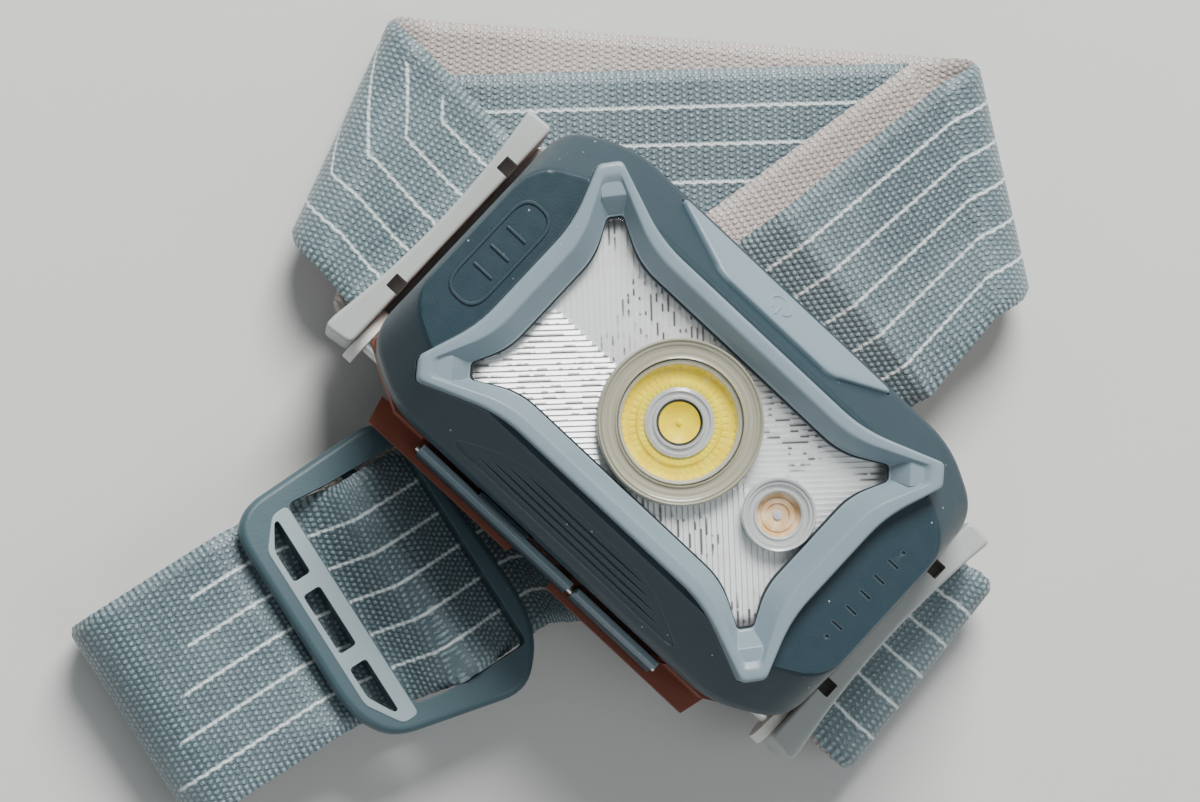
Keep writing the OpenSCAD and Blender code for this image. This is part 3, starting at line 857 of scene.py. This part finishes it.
def headband():
    webbing("webbing_inner", INNER)
    webbing("webbing_outer", OUTER)
    webbing("webbing_bent", OUTER, bend=(BEND_U, BEND_LEAN))
    webbing("webbing_ended", OUTER, ends=(END_U, END_LEAN))
    made = ribbon("headband_webbing", band_rungs(), True, ZONES)
    dress_band(made, ["webbing_inner", "webbing_outer", "webbing_bent", "webbing_ended"], "headband")


def tail():
    webbing("tail_inner", (*OUTER[:2], None))
    webbing("tail_outer", OUTER)
    made = ribbon("strap_tail_webbing", tail_rungs(), False, [(0, 1)])
    dress_band(made, ["tail_inner", "tail_outer"], "strap_tail")


# ---- front half of the lamp ----

def cover_ring(z, share, pull, inset):
    """The cover's outline: share runs from 0 on the walls to 1 where the flat front starts."""
    hx = FRONT_X - 0.45 * share - pull - inset
    hy = FRONT_Y - (FRONT_Y - FACET_Y) * share - pull - inset
    return lift(rounded(cut_rect(hx, hy), 3.2, 7), z)


def cover_form(inset=0.0):
    if inset:
        path = [(SEAM_Z - 2, 0, 0), (FACET_Z - 0.5, 0, 0), (FACE_Z - inset, 0.94, 0)]
    else:
        path = [(20.75, 0, 0.22), (20.8, 0, 0.08), (20.95, 0, 0), (24, 0, 0), (27.7, 0, 0), (28.2, 0.01, 0),
                (28.6, 0.035, 0), (29.1, 0.1, 0), (31.2, 0.43, 0), (33.4, 0.778, 0), (34.3, 0.92, 0.01),
                (34.6, 0.965, 0.05), (34.78, 0.99, 0.14), (FACE_Z, 1.0, 0.32)]
    return loft([cover_ring(z, share, pull, inset) for z, share, pull in path])


def button_outline(grow):
    corners = [(-16.2 - grow * 2, 3.2 + grow), (-7.4 - grow, -2.3 - grow),
               (8.4 + grow, -2.3 - grow), (15 + grow * 2, 3.2 + grow)]
    return rounded(corners, 1.3, 6)


def stadium(cx, cy, half_x, half_y, reach):
    return rounded(corners_of(cx - half_x, cx + half_x, cy - half_y, cy + half_y), reach, 8)


def hoop(outer, inner, z0, z1):
    """A raised band between two outlines."""
    return loft([lift(outer, z0), lift(outer, z1 - 0.08), lift(outer * 0.75 + inner * 0.25, z1),
                 lift(outer * 0.25 + inner * 0.75, z1), lift(inner, z1 - 0.08), lift(inner, z0)], loop=True)


def knuckle(x0, x1, up):
    """One hinge knuckle with the tab that joins it to its shell; up is 1 on the front and -1 on the rear."""
    y, z = HINGE
    turn = [math.radians(a) for a in range(-20, -221, -20)]
    curl = [(y + 1.6 * math.cos(a), z + up * 1.6 * math.sin(a)) for a in turn]
    side = [(y - 1.4, z + up * 3.9), (y + 0.5, z + up * 3.9)]
    outline = np.array(curl + side)
    if up > 0:
        outline = outline[::-1]
    rings = []
    rim = [(0.05, 0.85), (0.16, 0.97), (0.3, 1)]
    middle = outline.mean(0)
    for x, pull in [(x0 + d, pull) for d, pull in rim] + [(x1 - d, pull) for d, pull in reversed(rim)]:
        rings.append(upright(x, middle + (outline - middle) * pull))
    return loft(rings)


def knuckle_row(name, spans, up, bore, body, finish):
    """A row of hinge knuckles, bored for the pin."""
    made = thing(name, merged([knuckle(x0, x1, up) for x0, x1 in spans]))
    carve(made, [along_x(-30, 30, *HINGE, bore, 32, 0.01)])
    finish_piece(made, body, finish)


FRONT_SPANS = [(-22, -14.3), (-5.7, 5.7), (14.3, 22)]
REAR_SPANS = [(-14, -6), (6, 14)]
GRIP_HALF = 0.24
GRIPS = [(-9.5, 8.6, -1.4), (-11.2, 10.6, -0.4), (-12.8, 12.4, 0.6), (-13.8, 13.8, 1.6)]


def grip_grooves():
    """Tapered grooves for the finger, on the long facet across from the button."""
    grooves = []
    for x0, x1, y in GRIPS:
        low, high = y - GRIP_HALF, y + GRIP_HALF
        corners = [(x0, y), (x0 + 5, low), (x1 - 5, low), (x1, y), (x1 - 5, high), (x0 + 5, high)]
        grooves.append(moved(extrude(rounded(corners, 1, 3), -0.32, 1, 0.02), FAR_FACET))
    return merged(grooves)


def front_cover():
    cover = thing("front_cover_shell", cover_form())
    dish = rounded([(-17.5, 2.7), (-9, -2.5), (9.5, -2.5), (17.5, 2.7)], 3.5, 7)
    low, high = FACE_Z - 0.2, FACE_Z + 1
    ticks = [block(26.0, 27.4, y - 0.14, y + 0.14, low - 0.02, high, 0.02) for y in (-4.4, -2.2, 0, 2.2, 4.4)]
    ticks += [revolve([(0, low), (0.24, low), (0.24, high), (0, high)], (26.7, y), 16) for y in (-6, 6)]
    cutters = [
        cover_form(WALL),
        extrude(rounded(star_outer(0.08), STAR_REACH), FACE_Z - 5, FACE_Z + 4, 0.01),
        moved(extrude(button_outline(0.14), -4, 4, 0.01), FACET),
        along_x(-24.6, 24.6, *HINGE, 2, 48, 0.02),
        block(-10.5, -2.5, -FRONT_Y - 1, -FRONT_Y + 1.2, SEAM_Z - 1, SEAM_Z + 2.6),
        moved(extrude(dish, -0.16, 1.5, 0.14), FAR_FACET),
        grip_grooves(),
        merged(ticks),
    ]
    cut_and_round(cover, cutters, 0.13, 2, 34)
    knuckle_row("front_cover_knuckles", FRONT_SPANS, 1, 0.76, "front_case", "front_teal")
    badge_outer, badge_inner = stadium(-26.1, 0, 2.3, 6.6, 2.6), stadium(-26.1, 0, 1.95, 6.25, 2.4)
    marks = [hoop(badge_outer, badge_inner, FACE_Z - 0.1, FACE_Z + 0.22)]
    for y in (-2.6, 0, 2.6):
        marks.append(block(-27.4, -24.8, y - 0.16, y + 0.16, FACE_Z - 0.1, FACE_Z + 0.2, 0.08))
    finish_piece(cover, "front_case", "front_teal", replaces=["front_cover"], angle=30)
    piece("front_cover_marks", marks, "front_case", "front_teal")


# how far each corner's rounding reaches, on the star and on its window
STAR_REACH = [2.6, 0.55, 0.55, 3.0, 3.0, 0.55, 0.55, 2.6] * 2
WINDOW_REACH = [2.0, 0.45, 0.45, 2.4, 2.4, 0.45, 0.45, 2.0] * 2


def star_ring(corners, z, reach=STAR_REACH):
    return lift(rounded(corners, reach, 6), z)


def tip_block(sx, sy):
    """Small raised block in the valley at a tip of the star."""
    start, end = np.array([24.2, 14.85]), np.array([19.84, 11.2])
    way = unit(end - start)
    cross = np.array([-way[1], way[0]])
    rings = []
    for s, half, z in ((1.15, 1.15, 36.1), (1.3, 1.3, 36.38), (3.55, 1.42, 36.38), (3.75, 1.4, 36.3),
                       (5.35, 0.85, 34.75), (5.6, 0.7, 33.4)):
        low, e = 33.3, 0.14
        sides = [(-half, low), (half, low), (half, z - e), (half - e, z), (e - half, z), (-half, z - e)]
        rings.append(np.array([[*((start + way * s + cross * w) * (sx, sy)), h] for w, h in sides]))
    if sx * sy < 0:
        rings = [r[::-1] for r in rings]
    return loft(rings)


def star_bezel():
    rings = []
    for grow, z in ((0, FACE_Z - 4), (0, 36.35), (-0.06, 36.62), (-0.2, 36.75), (-0.42, BEZEL_TOP)):
        rings.append(star_ring(star_outer(grow), z))
    for grow, z in ((0.32, BEZEL_TOP), (0.1, 36.74), (-0.1, 36.56)):
        rings.append(star_ring(star_crest(grow), z))
    for grow, z in ((0.42, 34.86), (0.24, 34.62), (0.06, 34.55), (0.0, 34.4), (0.0, FACE_Z - 4)):
        rings.append(star_ring(star_window(grow), z, WINDOW_REACH))
    parts = [loft(rings, loop=True)] + [tip_block(sx, sy) for sx in (1, -1) for sy in (1, -1)]
    piece("star_bezel_frame", parts, "front_case", "bezel_blue", replaces=["star_bezel"], angle=40)


def inside(points, polygon):
    """Whether each point is inside the polygon."""
    x, y = points[:, 0], points[:, 1]
    result = np.zeros(len(points), bool)
    for (x0, y0), (x1, y1) in zip(polygon, np.roll(polygon, -1, 0)):
        crosses = (y0 > y) != (y1 > y)
        with np.errstate(divide="ignore", invalid="ignore"):
            result ^= crosses & (x < (x1 - x0) * (y - y0) / (y1 - y0) + x0)
    return result


def ribbed_plate():
    """Prisms in chevrons that point at the lamp's middle, as an open sheet of their top faces."""
    lines = (np.arange(-39, 40)[:, None] * RIB_STEP + np.array([0.0, 0.1, 0.9]) * RIB_STEP).ravel()
    p, q = np.meshgrid(lines, lines, indexing="ij")
    x, y = (p + q) / 2, (q - p) / 2
    share = np.mod((np.abs(x) - np.abs(y)) / RIB_STEP + 1e-6, 1)
    z = 33.05 + RIB_HEIGHT * np.where(share < 0.1, share / 0.1, (1 - share) / 0.9)
    n = len(lines)
    centres = np.column_stack([(c[:-1, :-1] + c[1:, 1:]).ravel() / 2 for c in (x, y)])
    keep = inside(centres, rounded(star_window(0.35), WINDOW_REACH, 6))
    keep &= np.hypot(centres[:, 0], centres[:, 1]) > 8.7
    keep &= np.hypot(centres[:, 0] - SMALL_X, centres[:, 1]) > 3.8
    faces = []
    for index in np.nonzero(keep)[0]:
        i, j = divmod(int(index), n - 1)
        a = i * n + j
        faces.append((a, a + n, a + n + 1, a + 1))
    used = sorted({v for f in faces for v in f})
    number = {v: k for k, v in enumerate(used)}
    points = np.column_stack([x.ravel(), y.ravel(), z.ravel()])[used]
    return points, [tuple(number[v] for v in f) for f in faces]


def reflector():
    ribs = thing("lens_prisms", ribbed_plate())
    solid = ribs.modifiers.new("thickness", "SOLIDIFY")
    solid.thickness = 0.3 * MM
    solid.offset = -1
    settle(ribs)
    finish_piece(ribs, "front_case", "reflector_silver", angle=12)
    tray = thing("reflector_tray", extrude(rounded(cut_rect(21.5, 10.6, 3, 3), 1), 28.8, 32.4, 0.15))
    holes = [revolve([(0, 28), (r, 28), (r, 40), (0, 40)], (x, 0), 64) for x, r in ((0, 9), (SMALL_X, 4.05))]
    carve(tray, [extrude(rounded(cut_rect(20.3, 9.4, 3, 3), 1), 30, 40, 0.05), *holes])
    finish_piece(tray, "front_case", "reflector_silver", replaces=["reflector"])


def lens_cover():
    """Clear cover with a stepped rim, open for the two optics."""
    def window(grow, z):
        return star_ring(star_window(grow), z, WINDOW_REACH)
    skin = loft([window(-0.12, 33.75), window(-0.12, 34.2), window(-0.2, 34.32), window(-0.35, LENS_TOP),
                 window(-0.75, LENS_TOP), window(-0.85, 34.3), window(-1.0, 34.3)])
    plate = thing("lens_cover", skin)
    holes = [revolve([(0, 30), (r, 30), (r, 40), (0, 40)], (x, 0), 96) for x, r in ((0, 8.8), (SMALL_X, 3.9))]
    carve(plate, holes)
    finish_piece(plate, "front_case", "lens_clear", replaces=["lens"], angle=25)
    rim = [rounded(star_window(grow), WINDOW_REACH, 6) for grow in (-0.02, -0.2)]
    piece("lens_rim_seal", [hoop(*rim, 33.6, 34.32)], "front_case", "seal_rubber")


def optic_ring():
    profile = [(8.9, 28.9), (8.9, 34.6), (8.84, 34.95), (8.7, 35.1), (8.56, 35.02), (8.46, 34.86),
               (8.36, 34.95), (8.22, 34.9), (8.05, 34.72), (7.2, 34.6), (6.98, 34.62), (6.9, 34.78),
               (6.78, 34.84), (6.7, 34.7), (6.68, 28.9)]
    ring = revolve(profile, close=True, turns=128)
    piece("optic_ring_moulding", [ring], "front_case", "ring_beige", replaces=["optic_ring"])


def turned_piece(name, profile, bands, materials, replaces, centre=(0, 0), turns=128):
    """An optic; bands gives (last profile index, material number), and the caps are in the first band."""
    made = thing(name, revolve(profile, centre, turns))
    finish_piece(made, "front_case", "optic_clear", materials, replaces, angle=28)
    numbers, first = [], 0
    for last, number in bands:
        numbers += [number] * (last - first) * turns
        first = last
    numbers += [bands[0][1]] * 2
    made.data.polygons.foreach_set("material_index", numbers)


def main_optic():
    profile = [(0, 28.9), (6.6, 30.4), (6.64, 34.2), (6.5, 34.42), (6.3, 34.2), (6.12, 33.6),
               (6.0, 33.2), (5.3, 33.05), (4.7, 33.15), (4.5, 33.45), (4.1, 33.5), (3.8, 33.4),
               (3.7, 33.75), (3.35, 33.85), (3.2, 33.6), (2.9, 33.6), (2.75, 33.9), (2.5, 33.9),
               (2.4, 33.3), (2.28, 33.3), (2.2, 33.7), (1.4, 33.4), (0.5, 33.2), (0.34, 33.22),
               (0.26, 33.4), (0, 33.45)]
    bands = [(5, 0), (11, 1), (18, 0), (20, 3), (25, 2)]
    materials = ["optic_solid", "led_phosphor", "led_centre", "switch_black"]
    turned_piece("main_optic_body", profile, bands, materials, ["main_optic"])
    dome = [(6.62, 34.25), (6.6, 34.9), (6.45, 35.06), (5.4, 35.1), (4.2, 35.0), (3.0, 34.75),
            (2.66, 34.7), (2.56, 34.6), (2.5, 33.95), (2.35, 33.95), (2.3, 34.5), (2.9, 34.6),
            (4.2, 34.8), (6.2, 34.85), (6.42, 34.25)]
    piece("main_optic_dome", [revolve(dome, close=True, turns=128)], "front_case", "optic_clear")


def small_optic():
    centre = (SMALL_X, 0)
    profile = [(0, 28.8), (2.2, 28.7), (3.93, 31.1), (3.95, 34.7), (3.85, 34.92), (3.66, 34.86), (3.55, 34.6),
               (3.3, 34.62), (3.1, 34.3), (2.75, 34.25), (2.6, 34.45), (2.4, 34.3), (2.32, 33.7),
               (1.9, 33.35), (1.75, 33.5), (1.3, 33.42), (1.2, 33.2), (0.55, 33.15), (0.45, 33.4), (0, 33.5)]
    bands = [(12, 0), (17, 1), (19, 2)]
    materials = ["optic_solid", "led_peach", "optic_solid"]
    turned_piece("small_optic_body", profile, bands, materials, ["small_optic"], centre, 80)
    dome = [(3.9, 34.7), (3.86, 34.98), (3.4, 35.05), (2.6, 34.95),
            (2.4, 34.85), (2.42, 34.65), (3.3, 34.8), (3.7, 34.68)]
    piece("small_optic_dome", [revolve(dome, centre, 80, close=True)], "front_case", "optic_clear")


def power_button():
    """Crowned button with a raised power symbol."""
    crown = ((-0.25, -0.9), (0, -0.7), (0, 0.2), (-0.06, 0.38), (-0.18, 0.48), (-0.4, 0.53),
             (-0.9, 0.56), (-1.6, 0.57))
    body = loft([lift(button_outline(grow), z) for grow, z in crown])
    stem = revolve([(0, -3), (1.25, -3), (1.3, -2.9), (1.3, -0.8), (0, -0.8)], (-0.4, 0.4), 40)
    bar = block(-0.54, -0.26, -1.5, 0.3, 0.5, 0.72, 0.08)
    arc = []
    for k in range(25):
        a = math.radians(-60 + 300 * k / 24)
        radial = np.array([math.cos(a), math.sin(a)])
        ring = [(1.2, 0.5), (1.45, 0.5), (1.45, 0.66), (1.38, 0.72), (1.27, 0.72), (1.2, 0.66)]
        arc.append(np.array([[-0.4 + radial[0] * r, 0.35 + radial[1] * r, z] for r, z in ring]))
    piece("power_button_cap", [body, stem, bar, loft(arc)], "power_button", "bezel_blue",
          replaces=["power_button"], matrix=FACET, angle=50)


# ---- latch and fixed lip ----

# axis of the latch's pin, and the radius of the barrels round it
LATCH_Y, LATCH_Z, BARREL_R = -19.9, 15.4, 0.88


def edge_strip(x0, x1):
    """Slim upright strip with rounded ends."""
    profile = rounded([(-19.25, LATCH_Z), (-19.35, 20.3), (-20.1, 20.3), (-20.4, LATCH_Z)], 0.2, 3)
    middle = profile.mean(0)
    rings = []
    for x, share in ((x0, 0.88), (x0 + 0.15, 1), (x1 - 0.15, 1), (x1, 0.88)):
        rings.append(upright(x, middle + (profile - middle) * share))
    return loft(rings)


def latch_strips():
    piece("case_latch_strip", [edge_strip(-18, 4.2)], "case_latch", "bezel_blue", replaces=["case_latch"])
    # painted shade: the hook and its barrel take the cover's dark teal, under the pale strip
    hook = [along_x(-18, 4.2, LATCH_Y, LATCH_Z, BARREL_R), block(-10, -3, -19.6, -18.9, 19.4, 22.3, 0.15)]
    piece("case_latch_hook", hook, "case_latch", "bezel_blue", ["front_teal"])
    piece("fixed_lip_strip", [edge_strip(4.9, 16.9)], "rear_case", "bezel_blue", replaces=["fixed_lip"])
    # painted shade: the barrel takes the cover's dark teal, under the pale strip
    barrel = along_x(4.9, 16.9, LATCH_Y, LATCH_Z, BARREL_R)
    piece("fixed_lip_barrel", [barrel], "rear_case", "bezel_blue", ["front_teal"])


# ---- bracket and slider ----

def end_wall(side):
    """Bracket's end wall with the strap slot, two notches, the pin's hole and rounded edges."""
    ys = np.linspace(-17.4, 15.2, 24)
    outer = [(33.5 + 0.4 * (y / 9) ** 2 if abs(y) < 16 else 34.7, y) for y in ys]
    outline = np.array([(31.3, -16.9), *outer, (31.3, 15.4)])
    if side < 0:
        outline = (outline * (-1, 1))[::-1]
    name = "tilt_bracket_wall_left" if side < 0 else "tilt_bracket_wall_right"
    wall = thing(name, extrude(rounded(outline, 0.8, 3), 5.5, 19.6, 0.45, 4))
    span = sorted((side * 30, side * 37))
    notch = sorted((side * 31.0, side * 32.9))
    cutters = [block(*span, -13.6, 13.6, 7, 8.9, 0.3), along_x(*span, -14.8, 14.7, 1.5, 40, 0.02)]
    cutters += [block(*notch, y, y + 1.8, 16.6, 21, 0.1) for y in (-9.6, 8)]
    cut_and_round(wall, cutters, 0.18)
    finish_piece(wall, "root", "bracket_grey", replaces=["tilt_bracket"])


def tilt_bracket():
    end_wall(-1)
    end_wall(1)
    ribs = [block(-28, 28, y - 0.4, y + 0.4, 10.0, 10.35, 0.12) for y in (-9, 0, 9)]
    plate = extrude(rounded(corners_of(-31.6, 31.6, -16, 14.5), 2), 8.9, 10.2, 0.3)
    piece("tilt_bracket_floor", [plate] + ribs, "root", "bracket_grey")


# outlines of the slider in its own plane
SLOTS = [
    [(-13.1, -7.4), (-13.1, -7.9), (-10.4, -9.6), (-6.4, -9.6), (-6.4, -7.4)],
    [(-4.6, -7.4), (-4.6, -9.6), (3, -9.6), (3, -7.4)],
    [(4.9, -7.4), (4.9, -9.6), (8.6, -9.6), (11.6, -7.9), (11.6, -7.4)],
]
SLIDER_OUTLINE = [
    (-16.4, -9.4), (-14.2, -12.1), (9.4, -12.1), (14, -9.4), (17.8, 6.4),
    (13.6, 10.4), (8.8, 11.6), (-14.2, 10.4), (-17, 7.4),
]
SLIDER_REACH = [2.2, 3, 3.4, 3, 3, 2.6, 3, 2.4, 2]
WINDOW = [
    (-14.1, -5.5), (12.0, -5.5), (12.8, -1.8), (13.15, 1), (13.15, 9.2), (-13.3, 9.2), (-13.6, -0.5),
]
CROSSBAR = [(-14.0, -5.65), (-13.9, -7.7), (-10.8, -10.3), (9.2, -10.3), (13.2, -7.7), (13.2, -5.65)]


def slider_part(made, materials=None, replaces=(), angle=40):
    made.data.transform(scaled(SLIDER))
    finish_piece(made, "root", "slider_teal", materials, replaces, angle)


def slider():
    """Ladder-lock frame, its slotted crossbar in a paler plastic, and the bar that the webbing goes over."""
    slots = [extrude(rounded(s, 0.45, 4), -4, 4, 0.01) for s in SLOTS]
    body = thing("slider_frame", extrude(rounded(SLIDER_OUTLINE, SLIDER_REACH, 7), -1, 1.2, 0.8, 6))
    window = extrude(rounded(WINDOW, 0.9, 5), -4, 4, 0.01)
    cut_and_round(body, [window, *slots], 0.22, 3)
    slider_part(body, replaces=["slider"])
    cap = thing("slider_crossbar", extrude(rounded(CROSSBAR, 0.7, 4), 1.0, 1.34, 0.14, 3))
    cut_and_round(cap, slots, 0.06)
    slider_part(cap, ["slider_grey"])
    slider_part(thing("slider_middle_bar", block(-14.2, 13.4, 1.7, 3.5, -1, 0.5, 0.6)), angle=50)


def scaled(matrix):
    """A millimetre placement, for a mesh that is in metres already."""
    made = matrix.copy()
    made.translation = matrix.translation * MM
    return made


# ---- pieces that keep the frame's own shape ----

CAD_PIECES = {
    "rear_shell": ("rear_terracotta", 0.45), "battery_tray": ("carrier_grey", 0.3),
    "case_gasket": ("seal_rubber", 0.2), "contact_plates": ("contact_nickel", 0.12),
    "hinge_pin": ("steel", 0.12), "latch_pin": ("steel", 0.1), "tilt_pins": ("steel", 0.2),
    "friction_washers": ("washer_nylon", 0.15), "inner_carrier": ("carrier_grey", 0.25),
    "led_board": ("board_white", 0.1), "circuit_board": ("board_green", 0.1),
    "button_seal": ("seal_rubber", 0.15), "tactile_switch": ("switch_black", 0.15),
    "main_led": ("led_phosphor", 0.1), "small_led": ("led_peach", 0.1),
}


def cad_pieces():
    """Welds, rounds and paints the solids whose shape is right already."""
    for node, (finish, width) in CAD_PIECES.items():
        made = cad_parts[node]
        made.data.materials.clear()
        made.data.materials.append(MATERIALS[finish])
        if "custom_normal" in made.data.attributes:
            made.data.attributes.remove(made.data.attributes["custom_normal"])
        made.data.shade_smooth()
        weld = made.modifiers.new("weld", "WELD")
        weld.merge_threshold = 0.002 * MM
        soften(made, width, 3, 38)
        made.modifiers["bevel"].harden_normals = True


# ---- cells, springs, boards and screws ----

CELL_SIDES = 64


def cell(index, name):
    """AAA cell: wrapped can with rolled ends, a pip at one end and a flat plate at the other."""
    turn = -1 if index == 0 else 1
    profile = [(0, -22.2), (3.9, -22.2), (4.3, -22.05), (4.5, -21.8), (4.75, -21.85), (5.0, -21.8),
               (5.2, -21.5), (5.25, -21.1), (5.25, 20.4), (5.2, 20.9), (5.0, 21.2), (4.7, 21.25),
               (4.5, 21.15), (4.2, 21.2), (2.4, 21.2), (2.0, 21.3), (1.85, 21.6), (1.8, 22.1),
               (1.6, 22.24), (0, 22.25)]
    middle = Matrix.Translation((0, index * CELL_PITCH, CELL_Z))
    can = revolve(profile, turns=CELL_SIDES)
    made = thing(name + "_can", can, middle @ Matrix.Rotation(turn * math.pi / 2, 4, "Y"))
    materials = ["contact_nickel", "sleeve_left" if turn < 0 else "sleeve_right"]
    finish_piece(made, "rear_case", "cell_sleeve", materials, [name], 28)
    wrapped = [1 if 4 <= k // CELL_SIDES < 11 else 0 for k in range(len(can[1]))]
    made.data.polygons.foreach_set("material_index", wrapped)


def spring(index):
    """Conical coil of round wire that presses on a cell's flat end."""
    side = 1 if index == 0 else -1
    rings, turns, wire = [], 3.6, 0.26
    for k in range(121):
        t = k / 120
        a = math.tau * turns * t
        r = 1.9 + 1.0 * t
        radial = np.array([0, math.cos(a), math.sin(a)])
        centre = np.array([side * (22.6 + 2.9 * t), index * CELL_PITCH, CELL_Z]) + radial * r
        ring = [centre + wire * (radial * math.cos(b) + np.array([side, 0, 0]) * math.sin(b))
                for b in (math.tau * m / 10 for m in range(10))]
        rings.append(np.array(ring if side < 0 else ring[::-1]))
    return loft(rings)


def screws():
    """The carrier's screws, each with a cross in its head."""
    low = SEAM_Z + 1.6
    profile = [(0, low), (1.3, low), (1.62, low + 0.25), (1.7, low + 0.6), (1.7, low + 1), (0.9, low + 1.02),
               (0.9, low + 5.3), (0, low + 5.4)]
    places = [(sx * 24.8, sy * 9.5) for sx in (-1, 1) for sy in (-1, 1)]
    made = thing("carrier_screw_set", merged([revolve(profile, place, 36) for place in places]))
    for half_x, half_y in ((1.0, 0.2), (0.2, 1.0)):
        carve(made, [block(x - half_x, x + half_x, y - half_y, y + half_y, low - 1, low + 0.45, 0.04)
                     for x, y in places])
    finish_piece(made, "front_case", "steel", replaces=["carrier_screws"])


def electronics():
    """Small parts on the two boards."""
    top = 26.2
    chips = [block(-19, -14.5, -9.5, -5.5, top, top + 1.0), block(-18.5, -15, 5.2, 8.8, top, top + 0.9)]
    for x in (-13.5, -11.5):
        chips += [block(x, x + 1.2, y, y + 0.7, top, top + 0.5, 0.08) for y in (-11.5, 10.4)]
    piece("circuit_board_chips", chips, "front_case", "switch_black")
    pads = []
    for x in (-18, -6, 6, 16):
        pads += [block(x, x + 1.6, y, y + 0.5, 24.86, 25.0, 0.05) for y in (-8, -4, 4, 8)]
    joint = [(0, 24.7), (0.5, 24.72), (0.9, 25), (0, 25.02)]
    pads += [revolve(joint, (x, y), 20) for x in (-20.5, 20.5) for y in (-9, 0, 9)]
    piece("circuit_board_solder", pads, "front_case", "steel", ["solder"])


def inside_parts():
    for index, name in ((-1, "battery_1"), (0, "battery_2"), (1, "battery_3")):
        cell(index, name)
    coils = [spring(index) for index in (-1, 0, 1)]
    piece("spring_coils", coils, "rear_case", "contact_nickel", replaces=["spring_contacts"], angle=80)
    screws()
    knuckle_row("rear_shell_knuckles", REAR_SPANS, -1, 0.71, "rear_case", "rear_terracotta")
    signs = []
    for index in (-1, 0, 1):
        side, y = (-1 if index == 0 else 1), index * CELL_PITCH
        for x in (side * 17, -side * 17):
            signs.append(block(x - 1.2, x + 1.2, y - 0.25, y + 0.25, 23.0, 23.3, 0.08))
        signs.append(block(side * 17 - 0.25, side * 17 + 0.25, y - 1.2, y + 1.2, 23.0, 23.3, 0.08))
    ribs = [block(-24, 24, y - 0.3, y + 0.3, 22.95, 23.3, 0.1) for y in (-CELL_PITCH / 2, CELL_PITCH / 2)]
    piece("inner_carrier_marks", signs + ribs, "front_case", "carrier_grey")
    electronics()


camera()
studio()
headband()
tail()
front_cover()
star_bezel()
reflector()
lens_cover()
optic_ring()
main_optic()
small_optic()
power_button()
latch_strips()
tilt_bracket()
slider()
inside_parts()
cad_pieces()
